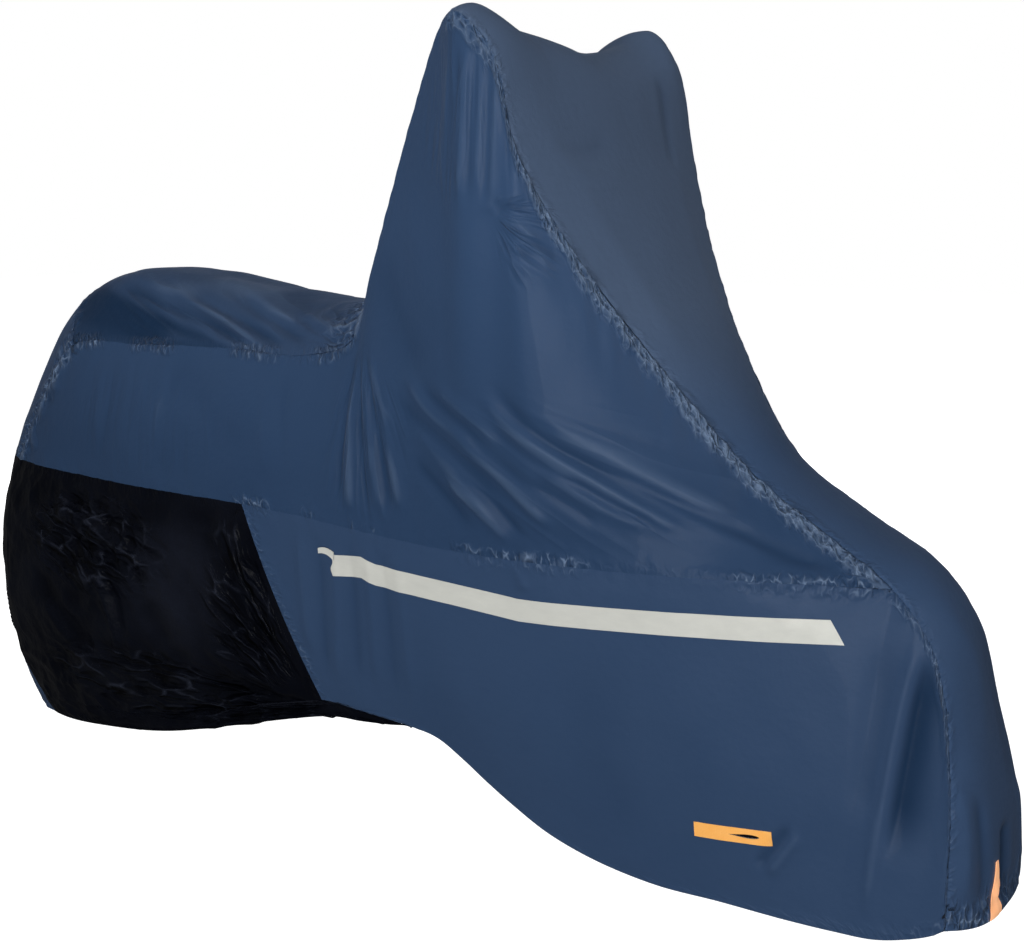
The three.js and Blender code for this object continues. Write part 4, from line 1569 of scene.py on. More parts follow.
@dataclass
class UpperSide(ClothPanel):
    """Upper side panel, between the centre strip and the waist seam."""

    columns: int = 396
    rows: int = 118
    density: Pairs = ((0, 0.7), (5, 0.8), (7, 1.4), (13, 1.4), (14.5, 1.1), (17, 1.1))
    tip: float = 0.03
    crowding: float = 0.35
    measured_at: float = 0.4
    seat_seam: Pairs = (
        (1.9, 0), (2.1, 1), (2.5, 1), (2.65, 0.08), (3, 0.08), (3.1, 1), (3.35, 1), (3.5, 0.08),
        (3.9, 0.08), (4, 0.8), (4.45, 0.7), (4.6, 0.15), (5, 0.3), (5.3, 0.9), (6, 1), (6.5, 0),
    )
    tail_seam: Pairs = ((0, 1.2), (0.5, 0.8), (1, 0.7), (1.3, 1.2), (1.8, 1.2), (2.1, 0))
    front_seam: Pairs = (
        (9.3, 0), (9.8, 0.7), (11, 0.8), (11.6, 0.7), (12.2, 1), (13, 1.2), (15.5, 1.2), (17, 0.9),
    )
    gaping: Pairs = (
        (10.3, 0), (10.6, 1), (11.3, 1), (11.6, 0), (11.8, 0.8), (12.2, 0.8), (12.4, 0), (13.2, 0),
        (13.35, 1), (13.6, 1), (13.75, 0),
    )
    waist: Pairs = (
        (0, 0.03), (3.9, 0.05), (4, 0.8), (4.35, 0.8), (4.5, 0.08), (5, 0.05), (5.1, 0.5), (5.3, 0.5),
        (5.4, 0.05), (6.2, 0.05), (6.3, 0.6), (6.5, 0.05), (7, 0.4), (7.15, 0.05), (9, 0.1), (9.4, 0.7),
        (10.4, 0.5), (11, 0.8), (12.6, 0.9), (13, 0.15), (14.6, 0.2), (15, 0.7), (17, 0.9),
    )
    creases: tuple[Crease, ...] = crease_rows(
        (((150, 1310), (122, 1205), (100, 1075)), 13, 2),
        (((162, 1300), (144, 1205), (124, 1070)), 10, -2.4),
        (((174, 1300), (164, 1205), (150, 1060)), 9, 3.5),
        (((183, 1290), (176, 1195), (166, 1070)), 8, -3.5),
        (((192, 1285), (188, 1190), (180, 1062)), 8, 3),
        (((200, 1275), (198, 1190), (192, 1070)), 7, -3),
        (((209, 1262), (210, 1190), (203, 1060)), 10, 4, 0.2),
        (((196, 1090), (202, 1070), (204, 1052)), 20, 3, 0.5),
        (((206, 1080), (228, 1084), (256, 1092)), 8, 2.4),
        (((203, 1066), (230, 1069), (262, 1070)), 8, -4),
        (((205, 1058), (236, 1042), (272, 1020)), 8, 2.2),
        (((206, 1050), (238, 1024), (270, 994)), 8, -2.2),
        (((5, 830), (66, 773), (132, 740), (164, 717), (221, 672), (267, 632), (305, 606)), 10, 4.42, 0.15),
        (((-20, 800), (45, 748), (120, 712), (170, 679), (220, 638)), 13, -3.9),
        (((45, 808), (94, 778), (150, 750), (192, 716)), 10, -3.9),
        (((75, 815), (119, 790), (174, 761), (212, 722)), 9, 3.9),
        (((165, 812), (226, 760), (281, 726), (340, 690), (407, 650), (480, 618)), 11, 4.68, 0.15),
        (
            ((190, 830), (222, 790), (273, 749), (320, 721), (380, 692), (487, 642), (590, 601), (700, 572)),
            11, -5.2, 0.15,
        ),
        (((250, 800), (300, 757), (352, 730), (452, 676), (555, 622)), 14, 3.9),
        (((330, 720), (400, 680), (500, 628), (600, 588)), 8, 3.25),
        (((300, 700), (370, 660), (440, 625)), 9, -3.9),
        (((95, 680), (130, 655), (170, 632), (226, 576)), 9, 3.9),
        (((120, 692), (150, 668), (188, 647), (248, 588)), 9, -3.9),
        (((262, 708), (329, 669), (381, 639), (430, 620)), 9, 3.64),
        (((250, 690), (310, 655), (360, 622)), 9, -3.64),
        (((30, 700), (70, 672), (120, 630), (160, 590)), 12, -3.9),
        (((20, 760), (80, 715), (150, 660), (200, 600)), 12, 3.9),
        (((-114, 845), (-118, 740), (-106, 600)), 10, -4, 0.15),
        (((-106, 848), (-100, 740), (-84, 596)), 10, 4, 0.15),
        (((-98, 850), (-77, 740), (-48, 596)), 10, -4.5, 0.15),
        (((-92, 852), (-60, 740), (-22, 596)), 10, 4.5, 0.15),
        (((-84, 855), (-42, 740), (0, 600)), 10, -4, 0.15),
        (((-76, 858), (-24, 745), (24, 600)), 11, 4, 0.15),
        (((-905, 745), (-890, 700), (-868, 668)), 10, 6),
        (((-890, 755), (-868, 718), (-842, 700)), 8, -5),
        (((-872, 760), (-846, 738), (-815, 735)), 9, 5),
        (((-935, 665), (-915, 635), (-890, 610)), 9, 5),
        (((-950, 640), (-932, 612), (-915, 596)), 8, -4),
        (((-700, 805), (-694, 730), (-690, 640)), 12, 1.6),
        (((-660, 805), (-656, 720), (-650, 630)), 11, -1.6),
        (((-540, 810), (-530, 720), (-526, 640)), 12, 1.4),
        (((-300, 805), (-288, 720), (-270, 630)), 12, 1.6),
        (((-262, 805), (-246, 720), (-226, 630)), 11, -1.6),
        (((-700, 800), (-560, 740), (-420, 690)), 34, 1.6),
        (((-560, 800), (-420, 730), (-280, 660)), 34, -1.6),
        (((-430, 800), (-300, 720), (-180, 640)), 32, 1.6),
        (((-60, 1010), (-10, 900), (60, 820)), 36, -2.4),
        (((0, 1120), (40, 1000), (110, 880)), 40, 2.4),
    )
    fans: tuple[Fan, ...] = (
        Fan((200, 2100), (140, 1190), (105, 145), 19, 0.5, 9),
        Fan((190, 1070), (256, 1020), (52, 75), 14, 0.8, 5),
        Fan((-500, 1130), (330, 690), (330, 130), 34, 0.55, 9),
        Fan((-105, 960), (-60, 700), (110, 150), 19, 0.65, 9),
        Fan((-560, 1900), (-560, 690), (260, 110), 30, 0.3, 5),
    )

    def _gathers(self, side: Side) -> list[Gather]:
        """Puckers along the seams of one half; those of the right half follow the photograph.

        Args:
            side: Half of the cover.

        Returns:
            The puckers, seam by seam.
        """
        # the seam highlight is painted: the raised bands by the tail and front seams are coloured lighter
        tail, front = {"seam_highlight": 0.55, "grain": (0.6, 0.6)}, {"seam_highlight": 0.9, "grain": (0.8, 0.9)}
        if side is Side.LEFT:
            return [
                Gather(Edge.FIRST_ROW, 4.0, 16, 28, self.tail_seam, band=1.0, **tail),
                Gather(Edge.FIRST_ROW, 2.0, 16, 16, self.seat_seam, band=1.0),
                Gather(Edge.FIRST_ROW, 2.0, 16, 30, self.front_seam, band=1.0, **front),
                Gather(Edge.LAST_ROW, 4.0, 14, 18, self.waist, band=0.8),
            ]
        return [
            Gather(Edge.FIRST_ROW, 6.0, 16, 28, self.tail_seam, band=2.0, **tail),
            Gather(Edge.FIRST_ROW, 6.0, 14, 16, self.seat_seam, band=2.0, groove=1.0, grain=(1.3, 0.35)),
            Gather(Edge.FIRST_ROW, 5.5, 15, 30, self.front_seam, band=4.0, groove=1.0, **front),
            Gather(Edge.FIRST_ROW, 0.0, strength=self.gaping, groove=6.0),
            Gather(Edge.LAST_ROW, 4.0, 13, 15, self.waist, band=0.8, seam_highlight=0.25),
        ]

    def panel(self, side: Side, seed: int) -> None:
        """Upper side of one half.

        Args:
            side: Half of the cover.
            seed: Seed of its unevenness.
        """
        columns, rows = fineness(side, self.columns, self.rows)
        line = np.full(FINE_STEPS, self.measured_at)
        ends = self.tip, NUMBER["join"] - self.tip
        even = even_sections(*ends, columns, lambda s: self.shape.upper(s, line), self.density)
        section, down = np.meshgrid(even, dense_at_ends(rows, self.crowding), indexing="ij")
        points = self.shape.upper(section, down)
        creased = sum(c.lift(points[..., 0], points[..., 2]) for c in self.creases)
        draped = self.relieved(points, section, self._gathers(side), creased, seed, self.fans)
        above = ("front_panel_cloth", "saddle_panel_cloth")
        piece = Piece(f"upper_side_{side.value}", "blue_cloth", (0.8, 1.8), 0.57, "hung", above)
        self.sewn(piece, draped.on(side), SideFinish())


@dataclass
class LowerSide(ClothPanel):
    """Lower panels of one half: the blue skirt ahead and the black heat panel behind."""

    rows: int = 86
    measured_at: float = 0.5
    skirt_tip: float = 0.04
    gusset_gap: float = 0.012
    lap_start: float = 0.01
    lap_reach: float = 0.12
    lap_below: float = 0.05
    lap_depth: float = 7.0
    waist: Pairs = (
        (4, 0.4), (4.4, 0.4), (4.5, 0.05), (6.2, 0.05), (6.3, 0.3), (6.5, 0.05), (9, 0.05), (9.6, 0.4),
        (12.6, 0.5), (13, 0.1), (14.6, 0.1), (15, 0.5), (16.8, 0.7), (17.1, 0),
    )
    nose_seam: Pairs = (
        (16.8, 0), (17.1, 1), (17.6, 0.6), (18.2, 1.2), (19, 1), (19.5, 0.4), (20.2, 0.5), (21, 1.2),
    )
    hem: Pairs = ((4, 0.3), (15, 0.3), (19, 0.5), (21, 1.2))
    skirt_creases: tuple[Crease, ...] = crease_rows(
        (((782, 512), (766, 418), (757, 336), (748, 225), (740, 100)), 11, 4, 0.15),
        (((799, 505), (788, 420), (780, 338), (773, 250), (768, 180)), 34, -12, 0.3, 0.3),
        (((740, 500), (736, 380), (722, 230)), 22, -3),
        (((700, 500), (700, 350), (690, 180)), 34, 2.5),
        (((634, 222), (612, 190), (584, 148)), 8, -5),
        (((646, 215), (625, 180), (600, 140)), 10, 4),
        (((150, 470), (200, 330), (260, 170)), 55, 1.8),
        (((330, 470), (350, 310), (380, 120)), 55, -1.2),
        (((480, 470), (500, 300), (520, 120)), 60, 1.8),
        (((-150, 560), (-146, 430), (-150, 300)), 10, -2.5),
        (((-118, 560), (-117, 430), (-128, 300)), 9, 2.5),
        (((-84, 560), (-80, 430), (-86, 300)), 10, -2.5),
        (((-50, 562), (-44, 432), (-46, 300)), 10, 2.5),
        (((-20, 562), (-12, 440), (-10, 300)), 11, -2),
        (((8, 566), (18, 440), (24, 290)), 12, 2),
        (((220, 560), (232, 540), (240, 515)), 9, 3),
        (((-190, 570), (-186, 470), (-176, 330)), 12, 3),
    )
    heat_creases: tuple[Crease, ...] = crease_rows(
        (((-840, 520), (-730, 500), (-640, 474), (-500, 432)), 16, 7),
        (((-820, 480), (-700, 470), (-600, 440), (-520, 400)), 14, -7),
        (((-800, 545), (-700, 528), (-600, 512)), 12, -5),
        (((-760, 430), (-680, 440), (-610, 420)), 12, 6),
        (((-690, 440), (-656, 374), (-640, 300), (-650, 240)), 10, 6),
        (((-670, 430), (-632, 370), (-618, 300)), 10, -5),
        (((-880, 420), (-800, 330), (-690, 250)), 20, -7),
        (((-860, 360), (-780, 280), (-660, 210)), 16, 7),
        (((-560, 420), (-520, 330), (-440, 250)), 24, -6),
        (((-340, 545), (-300, 470), (-250, 390), (-190, 290)), 12, 6),
        (((-380, 500), (-320, 420), (-260, 350), (-190, 280)), 12, -7),
        (((-300, 520), (-270, 440), (-235, 370), (-190, 300)), 9, -5),
        (((-440, 340), (-340, 290), (-250, 275), (-170, 262)), 12, 6),
        (((-520, 270), (-400, 255), (-290, 258), (-180, 256)), 10, -6),
        (((-600, 220), (-450, 215), (-320, 236), (-200, 248)), 10, 5),
        (((-420, 430), (-340, 350), (-260, 300), (-180, 268)), 10, 5),
    )
    heat_fans: tuple[Fan, ...] = (
        Fan((-1300, 620), (-690, 470), (230, 110), 27, 1.0, 2.4),
        Fan((-180, 250), (-310, 420), (120, 190), 24, 1.0, 3.5),
        Fan((-100, 262), (-560, 230), (380, 80), 26, 0.9, 3.5),
    )
    crumples: tuple[tuple[float, Place], ...] = ((7.0, (95, 95, 70)), (3.0, (42, 42, 36)))
    crumple_mean: float = 5.0
    rear_patch: Pairs = ((-690, 470), (190, 120))
    # oval where the black cloth is painted lighter, as painted sheen
    sheen_patch: Pairs = ((-480, 420), (110, 110))
    front_band: tuple[float, float] = (-270, 90)
    low_band: tuple[float, float] = (330, 160)
    busy_least: float = 0.35
    busy_most: float = 1.2
    busy_shares: Place = (0.9, 0.6, 0.5)  # of the rear patch, the front band and the low band

    def _grid(
        self, first: float, last: float, count: tuple[int, int], edges: Sequence[Line]
    ) -> tuple[Array, Array]:
        """Smooth grid of a lower panel.

        Args:
            first: Section number at the rear end of its upper edge.
            last: Section number at the front end of its upper edge.
            count: Numbers of columns and rows.
            edges: The rear and front edges, each giving the section number at a share of the height.

        Returns:
            Grid of points and the section number of each.
        """
        line = np.full(FINE_STEPS, self.measured_at)
        even = even_sections(first, last, count[0], lambda s: self.shape.skirt(s, line))
        column, down = np.meshgrid((even - first) / (last - first), dense_at_ends(count[1]), indexing="ij")
        start, end = edges[0](down), edges[1](down)
        section = start + (end - start) * column
        return self.shape.skirt(section, down), section

    def skirt(self, side: Side, seed: int) -> Object:
        """Blue skirt of one half.

        Args:
            side: Half of the cover.
            seed: Seed of its unevenness.

        Returns:
            The shown object.
        """
        tip = LAST - self.skirt_tip
        edges = (self.shape.heat_edge, lambda down: np.full_like(down, tip))
        points, section = self._grid(NUMBER["seat_mid"], tip, fineness(side, 380, self.rows), edges)
        creased = sum(c.lift(points[..., 0], points[..., 2]) for c in self.skirt_creases)
        gathers = [
            Gather(Edge.FIRST_ROW, 3.0, 13, 15, self.waist),
            Gather(Edge.FIRST_ROW, 2.6, 13, 17, self.nose_seam, seam_highlight=0.5, grain=(0.8, 0.9)),
            Gather(Edge.LAST_ROW, 2.0, 16, 22, self.hem),
            Gather(Edge.FIRST_COLUMN, 1.6, 14, 18),
        ]
        draped = self.relieved(points, section, gathers, creased, seed)
        above = (f"upper_side_{side.value}_cloth",)
        piece = Piece(f"skirt_{side.value}", "blue_cloth", (0.52, 1.24), 0.44, "hung", above)
        return self.sewn(piece, draped.on(side), ClothFinish())

    def heat(self, side: Side, seed: int) -> None:
        """Black heat panel of one half.

        Args:
            side: Half of the cover.
            seed: Seed of its unevenness.
        """
        edges = (self.shape.gusset_edge, self.shape.heat_edge)
        points, section = self._grid(TAIL, NUMBER["seat_mid"], fineness(side, 260, self.rows), edges)
        x, _, z = np.moveaxis(points, -1, 0)
        uneven = Unevenness(seed + 50)
        rear = np.exp(-oval(x, z, *self.rear_patch))
        front = np.exp(-(((x - self.front_band[0]) / self.front_band[1]) ** 2))
        low = smoothstep((self.low_band[0] - z) / self.low_band[1])
        shares = zip(self.busy_shares, (rear, front, low))
        busy = np.clip(sum((s * part for s, part in shares), self.busy_least), 0, self.busy_most)
        crumple = np.zeros(x.shape)
        for height, pitch in self.crumples:
            crumple += height * uneven.ridged(*np.moveaxis(points / pitch, -1, 0)) ** 2
        creased = sum(c.lift(x, z) for c in self.heat_creases) + busy * (crumple - self.crumple_mean)
        gathers = [
            Gather(Edge.FIRST_ROW, 1.2, 14, 16),
            Gather(Edge.LAST_ROW, 3.2, 18, 34),
            Gather(Edge.LAST_COLUMN, 1.2, 14, 20),
            Gather(Edge.FIRST_COLUMN, 1.6, 14, 18),
        ]
        draped = self.relieved(points, section, gathers, creased, seed, self.heat_fans)
        # painted sheen: the second relief value makes the black cloth lighter over this patch
        draped.marks["relief"][..., 1] = np.exp(-(oval(x, z, *self.sheen_patch) ** 2))
        above = (f"upper_side_{side.value}_cloth",)
        piece = Piece(f"heat_panel_{side.value}", "heat_cloth", (0.58, 1.1), 0.41, "hung", above)
        behind = [self._seam_lap()] if side is Side.RIGHT else []
        self.sewn(piece, draped.on(side), HeatFinish(), behind)

    def _seam_lap(self) -> Mesh:
        """Strip of the right heat panel that laps behind the middle seam, down to the gusset.

        Returns:
            Mesh of the strip, all in the material of the inside.
        """
        heights = np.linspace(self.lap_start, self.shape.gusset_top + self.lap_below, 40)
        points = self._over_tail(heights, np.full_like(heights, self.lap_reach), 9)
        mesh = sheet_mesh("lap", points - outward_normals(points) * self.lap_depth, self.thick)
        return all_lining(mesh)

    def _over_tail(self, heights: Array, reach: Array, count: int) -> Array:
        """Grid over the middle of the tail, from the right half to the left.

        Args:
            heights: Share of the height at each of the grid's lines, from the top down.
            reach: How many sections each line reaches to either side.
            count: Number of points along a line.

        Returns:
            Grid of points.
        """
        across = np.broadcast_to(np.linspace(1, -1, count), (len(heights), count))
        down = np.broadcast_to(heights[:, None], across.shape)
        points = self.shape.skirt(TAIL + reach[:, None] * np.abs(across), down)
        points[..., 1] *= np.where(across < 0, -1, 1)
        return points

    def gusset(self) -> None:
        """Blue gusset at the foot of the tail, between the two heat panels."""
        heights = np.linspace(self.shape.gusset_top + self.gusset_gap, 1, 70)
        points = self._over_tail(heights, self.shape.gusset_edge(heights) - TAIL, 70)
        gathers = [Gather(edge, 1.6, 12, 16) for edge in (Edge.FIRST_ROW, Edge.LAST_ROW)]
        gathers.append(Gather(Edge.LAST_COLUMN, 2.4, 14, 26))
        flat = np.zeros(points.shape[:-1])
        draped = self.relieved(points, flat + TAIL, gathers, flat, 31)
        beside = ("heat_panel_right_cloth",)
        piece = Piece("tail_gusset", "blue_cloth", (0.36, 0.3), 0.07, "hung", beside)
        self.sewn(piece, draped, ClothFinish())


@dataclass
class Trims:
    """Tape, lock patches and pull tab, laid on the panels that carry them."""

    finishes: Finishes
    tape_line: Pairs = ((-121, 509), (-62, 514), (-33, 506), (113, 497), (227, 488), (400, 492), (676, 499))
    tape_width: float = 34
    tape_slant: float = 10
    slant_share: float = 0.03
    torn_share: float = 0.01
    torn_depth: float = 2.5
    torn_waves: float = 9
    curl_overlap: float = 6
    curl_length: float = 30
    curl_width: float = 13
    curl_narrows: float = 0.35
    curl_rise: float = 7
    curl_bend: float = 2.2
    curl_lift: tuple[float, float] = (1.2, 5)
    patch_place: tuple[float, float] = (550, 195)
    patch_size: tuple[float, float] = (113, 22)
    patch_tilt: float = 0.045
    patch_steps: int = 96
    slit_ahead: float = 15
    slit_size: tuple[float, float] = (50, 6)
    slit_steps: int = 48
    # lips: painted shade, a dark sheet of the inside coat that nearly closes the slit
    lip_start: float = 1.5
    lip_depth: float = 14
    lip_closing: float = 0.8
    lip_thick: float = 0.5
    tab_side: float = -46
    tab_hem: float = 105
    tab_length: float = 80
    tab_top: float = 8
    tab_foot: float = 40
    tab_lift: float = 2
    gap: float = 0.5
    thick: float = 0.9
    outside: float = 500.0  # distance from the middle plane that is outside either skirt
    inside: float = 60.0  # distance from the middle plane that is inside either skirt
    ahead: float = 1300.0  # place ahead of the nose
    look_in: float = 0.3  # metres from outside at which the nearest cloth is looked for

    def _laid(self, carrier: Object, start: Array, toward: Vector) -> Array:
        """Points on a panel, found by looking at it from outside.

        Args:
            carrier: Panel that the trim lies on.
            start: Grid of points outside the panel, in millimetres above the ground.
            toward: Direction in which the panel lies from there.

        Returns:
            Grid of points a little above the panel.
        """
        mesh = carrier.data
        tree = BVHTree.FromPolygons([v.co for v in mesh.vertices], [p.vertices for p in mesh.polygons])
        flat = (start.reshape(-1, 3) - ROW_ORIGIN) * MM
        laid = np.empty_like(flat)
        for k, point in enumerate(flat):
            place, normal, _, _ = tree.ray_cast(Vector(point), toward)
            if place is None:
                place, normal, _, _ = tree.find_nearest(Vector(point) + toward * self.look_in)
            laid[k] = place + normal * (self.gap * MM)
        return laid.reshape(start.shape) / MM + ROW_ORIGIN

    def _beside(self, carrier: Object, x: Array, z: Array, side: Side) -> Array:
        """Points of a side view laid on a skirt."""
        start = np.stack([x, np.full_like(x, side.outward * self.outside), z], axis=-1)
        return self._laid(carrier, start, Vector((0, -side.outward, 0)))

    def _tilted(self, along: Array, up: Array) -> tuple[Array, Array]:
        """Side-view place of a point of the patch."""
        c, s = math.cos(self.patch_tilt), math.sin(self.patch_tilt)
        return self.patch_place[0] + along * c - up * s, self.patch_place[1] + along * s + up * c

    def _band(self, carrier: Object, side: Side) -> Array:
        """The tape's long band, cut slanted in front and torn behind.

        Args:
            carrier: Skirt that it lies on.
            side: Half of the cover.

        Returns:
            Grid of points.
        """
        xs, zs = zip(*self.tape_line)
        along, up = strip_grid(240, 9)
        x = xs[0] + (xs[-1] - xs[0]) * along
        x = x - 2 * up * self.tape_slant * smoothstep((along - (1 - self.slant_share)) / self.slant_share)
        torn = smoothstep((self.torn_share - along) / self.torn_share)
        x = x + self.torn_depth * np.sin(up * self.torn_waves) * torn
        return self._beside(carrier, x, np.interp(x, xs, zs) + up * self.tape_width, side)

    def _curl(self, carrier: Object, side: Side) -> Array:
        """Upper corner of the tape's rear end, which is torn free and curls up.

        Args:
            carrier: Skirt that it lies on.
            side: Half of the cover.

        Returns:
            Grid of points.
        """
        along, up = strip_grid(14, 6)
        x = self.tape_line[0][0] + self.curl_overlap - self.curl_length * along
        top = self.tape_line[0][1] + self.tape_width / 2 - 1
        width = self.curl_width * (1 - self.curl_narrows * along)
        z = top + self.curl_rise * np.sin(self.curl_bend * along) + up * width
        curl = self._beside(carrier, x, z, side)
        curl[..., 1] += side.outward * (self.curl_lift[0] + self.curl_lift[1] * along**2)
        return curl

    def tape(self, carrier: Object, side: Side) -> None:
        """Reflective tape along one skirt, with a curled-up corner behind.

        Args:
            carrier: Skirt that it lies on.
            side: Half of the cover.
        """
        grids = [self._band(carrier, side), self._curl(carrier, side)]
        grids = grids if side is Side.RIGHT else [grid[:, ::-1] for grid in grids]
        meshes = [sheet_mesh(f"tape_{k}", grid, self.thick) for k, grid in enumerate(grids)]
        mesh = joined(f"reflective_tape_{side.value}", meshes)
        under = (f"skirt_{side.value}_cloth",)
        piece = Piece(f"reflective_tape_{side.value}", "silver_tape", (0.034, 0.85), 0.0284, "laid", under)
        piece.show(mesh, [self.finishes[TapeFinish()]] * 2)

    def _slit(self, share: Array) -> tuple[Array, Array]:
        """Outline of the slit, round from its front end, in the patch's own directions."""
        gape = 0.8 * np.sin(share) * np.abs(np.sin(share)) ** 0.4 * (1 + np.cos(share))
        return self.slit_ahead + self.slit_size[0] / 2 * np.cos(share), self.slit_size[1] / 2 * gape

    def patch(self, carrier: Object, side: Side) -> None:
        """Lock patch of one skirt, a ring of webbing round its slit.

        Args:
            carrier: Skirt that it lies on.
            side: Half of the cover.
        """
        turn, ring = np.meshgrid(once_round(self.patch_steps), np.linspace(0, 1, 7), indexing="ij")
        inner_x, inner_z = self._slit(turn)
        half, rise = self.patch_size[0] / 2, self.patch_size[1] / 2
        scale = 1 / np.maximum(np.abs(np.cos(turn)), np.abs(np.sin(turn)))
        outer_x, outer_z = half * np.cos(turn) * scale, rise * np.sin(turn) * scale
        x, z = self._tilted(inner_x + (outer_x - inner_x) * ring, inner_z + (outer_z - inner_z) * ring)
        points = self._beside(carrier, x, z, side)
        points = points[::-1] if side is Side.RIGHT else points
        mesh = sheet_mesh(f"lock_patch_{side.value}", points, self.thick, ring=True)
        under = (f"skirt_{side.value}_cloth",)
        piece = Piece(f"lock_patch_{side.value}", "orange_cloth", (0.023, 0.114), 0.0022, "laid", under)
        piece.show(mesh, [self.finishes[WebbingFinish()]] * 2)

    def _lips(self, carrier: Object, side: Side) -> Mesh:
        """Edges of the lock slit, turned in and nearly closed behind the cloth; painted shade, a dark sheet
        in the inside coat that keeps the slit dark.

        Args:
            carrier: Skirt that has the slit.
            side: Half of the cover.

        Returns:
            Mesh of the edges, all in the material of the inside.
        """
        turn, deep = np.meshgrid(once_round(self.slit_steps), np.linspace(0, 1, 5), indexing="ij")
        along, up = self._slit(turn)
        x, z = self._tilted(along, up * (1 - self.lip_closing * deep))
        points = self._beside(carrier, x, z, side)
        points[..., 1] = points[:, :1, 1] - side.outward * (self.lip_start + self.lip_depth * deep)
        return all_lining(sheet_mesh("lips", points, self.lip_thick, ring=True))

    def cut_slit(self, carrier: Object, side: Side) -> None:
        """Cuts the lock slit through one skirt and turns its edges in.

        Args:
            carrier: Skirt to cut.
            side: Half of the cover.
        """
        lips = self._lips(carrier, side)
        x, z = self._tilted(*self._slit(once_round(self.slit_steps)))
        ends = [np.full_like(x, side.outward * reach) for reach in (self.outside, self.inside)]
        points = np.stack([np.stack([x, y, z], axis=-1) for y in ends], axis=1).reshape(-1, 3)
        walls = grid_faces(self.slit_steps, 2, ring=True).tolist()
        corners = list(range(len(points)))
        caps = [corners[::2][::-1], corners[1::2]]
        mesh = bpy.data.meshes.new("slit")
        mesh.from_pydata(((points - ROW_ORIGIN) * MM).tolist(), [], walls + caps)
        cutter = placed("slit", mesh)
        cut = carrier.modifiers.new("slit", "BOOLEAN")
        cut.operation, cut.solver, cut.object = "DIFFERENCE", "EXACT", cutter
        bpy.context.view_layer.update()
        evaluated = carrier.evaluated_get(bpy.context.evaluated_depsgraph_get())
        cut_mesh = bpy.data.meshes.new_from_object(evaluated)
        carrier.modifiers.remove(cut)
        materials = list(cut_mesh.materials)
        carrier.data = joined(f"skirt_{side.value}", [cut_mesh, lips])
        for material in materials:
            carrier.data.materials.append(material)
        bpy.data.objects.remove(cutter)

    def tab(self, carrier: Object) -> None:
        """Pull tab at the front hem.

        Args:
            carrier: Front panel.
        """
        up, across = strip_grid(26, 13)
        width = self.tab_foot + (self.tab_top - self.tab_foot) * up
        y = self.tab_side + width * across
        z = self.tab_hem + self.tab_lift + self.tab_length * up
        start = np.stack([np.full_like(y, self.ahead), y, z], axis=-1)
        points = self._laid(carrier, start, Vector((-1, 0, 0)))
        mesh = sheet_mesh("front_tab", points, self.thick)
        piece = Piece("front_tab", "orange_cloth", (0.04, 0.08), 0.0019, "laid", ("front_panel_cloth",))
        # painted light: a brighter copy of the orange webbing with a faint glow; its paler, pinker hue is its
        # own
        pale = WebbingFinish("orange_webbing_painted_glow", (1.0, 0.43, 0.17), (1.0, 0.51, 0.27), 0.34)
        piece.show(mesh, [self.finishes[pale]] * 2)


@dataclass(frozen=True)
class Lamp:
    """Large soft light of the studio, in metres in the row's frame."""

    name: str
    place: Place
    aim: Place
    size: float
    power: float
    lights_up: bool = True
    glints: bool = False
    spread: float = math.pi


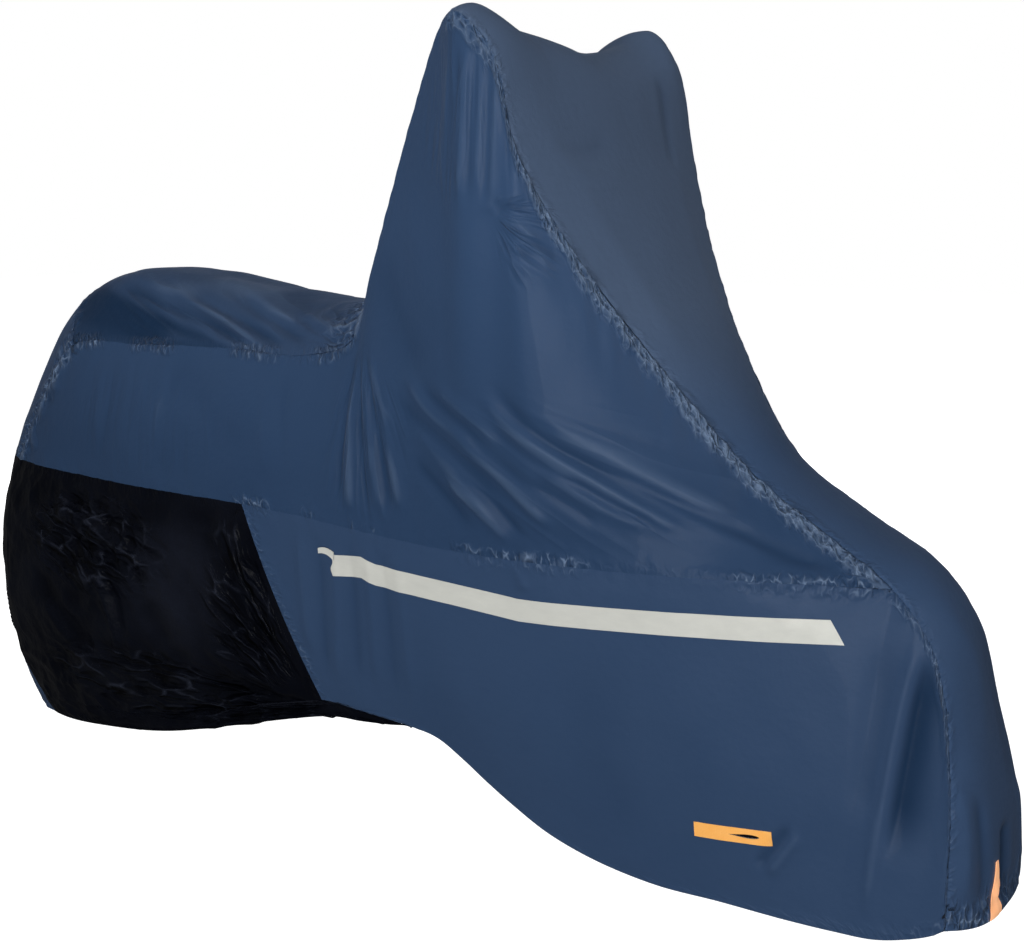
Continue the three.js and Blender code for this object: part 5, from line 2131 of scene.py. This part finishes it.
@dataclass
class Studio:
    """Pale floor, soft light and the camera."""

    floor_height: float = -1.301
    floor_reach: float = 14.0
    camera_place: Place = (1.303, -2.102, -0.2)
    camera_turn: float = 0.585
    camera_down: float = 0.181
    lens: float = 55.23
    sky: float = 0.045
    lamps: tuple[Lamp, ...] = (
        Lamp("softbox", (0.75, -3.9, -0.3), (0.0, 0.0, -0.7), 2.2, 166),
        Lamp("fill", (-2.8, -2.2, 0.1), (-0.6, 0.0, -0.8), 1.8, 5),
        Lamp("front", (3.4, -0.2, 1.0), (0.4, 0.0, -0.4), 1.8, 56),
        Lamp("top", (-0.6, -0.3, 1.6), (-0.55, 0.0, -0.4), 1.2, 2.4, spread=0.9),
        Lamp("backdrop", (0.9, 3.2, 0.8), (0.0, 0.0, -0.6), 3.6, 10),
        Lamp("left_softbox", (-1.4, 3.8, -0.2), (-0.2, 0.0, -0.7), 2.4, 120),
        Lamp("rear_softbox", (-3.6, 2.0, 0.2), (-0.7, 0.0, -0.6), 2.0, 80),
        Lamp("glint", (1.9, -2.7, -0.1), (0.0, 0.0, -0.7), 0.7, 9, lights_up=False, glints=True),
    )

    def light(self) -> None:
        """Soft even sky with large lamps over it."""
        tree = ShaderTree(bpy.data.worlds.new("studio"))
        bpy.context.scene.world = tree.owner
        glow = tree.node("ShaderNodeBackground", {}, {"Color": WHITE, "Strength": self.sky})
        backdrop = tree.node("ShaderNodeBackground", {}, {"Color": WHITE})
        seen = tree.node("ShaderNodeLightPath", {}, {}, "Is Camera Ray")
        surface = tree.node("ShaderNodeMixShader", {}, {0: seen, 1: glow, 2: backdrop})
        tree.node("ShaderNodeOutputWorld", {}, {"Surface": surface})
        for lamp in self.lamps:
            data = bpy.data.lights.new(lamp.name, "AREA")
            data.energy, data.size, data.spread = lamp.power, lamp.size, lamp.spread
            shown = placed(lamp.name, data)
            shown.location = lamp.place
            shown.visible_camera = False
            shown.visible_diffuse, shown.visible_glossy = lamp.lights_up, lamp.glints
            aim = Vector(lamp.aim) - Vector(lamp.place)
            shown.rotation_euler = aim.to_track_quat("-Z", "Y").to_euler()

    def floor(self) -> None:
        """Plain pale floor."""
        mesh = bpy.data.meshes.new("floor")
        turns = ((-1, -1), (1, -1), (1, 1), (-1, 1))
        corners = [(x * self.floor_reach, y * self.floor_reach, self.floor_height) for x, y in turns]
        mesh.from_pydata(corners, [], [(0, 1, 2, 3)])
        mesh.materials.append(FloorFinish().material())
        shown = placed("floor", mesh)
        shown.visible_glossy = shown.visible_diffuse = False

    def camera(self) -> None:
        """Camera at the photograph's angle."""
        data = bpy.data.cameras.new("camera")
        data.sensor_fit, data.sensor_width, data.lens = "HORIZONTAL", 36.0, self.lens
        data.clip_start, data.clip_end = 0.05, 100.0
        shown = placed("camera", data)
        shown.location = self.camera_place
        shown.rotation_euler = Euler((math.pi / 2 - self.camera_down, 0, self.camera_turn))
        bpy.context.scene.camera = shown


def main() -> None:
    """Builds the cover's pieces, logging each one's faces, and the studio."""
    logging.basicConfig(level=logging.INFO, format="%(message)s")
    bpy.context.scene.view_settings.view_transform = "Standard"
    shape, finishes = CoverShape(), Finishes()
    studio = Studio()
    studio.camera()
    studio.light()
    studio.floor()
    strip, upper = CentreStrip(shape, finishes), UpperSide(shape, finishes)
    lower, trims = LowerSide(shape, finishes), Trims(finishes)
    front = strip.front()
    strip.saddle()
    strip.tail()
    for seed, side in ((21, Side.RIGHT), (41, Side.LEFT)):
        upper.panel(side, seed)
        lower.heat(side, seed + 1)
        skirt = lower.skirt(side, seed + 2)
        trims.tape(skirt, side)
        trims.patch(skirt, side)
        trims.cut_slit(skirt, side)
    lower.gusset()
    trims.tab(front)


if __name__ == "__main__":
    main()
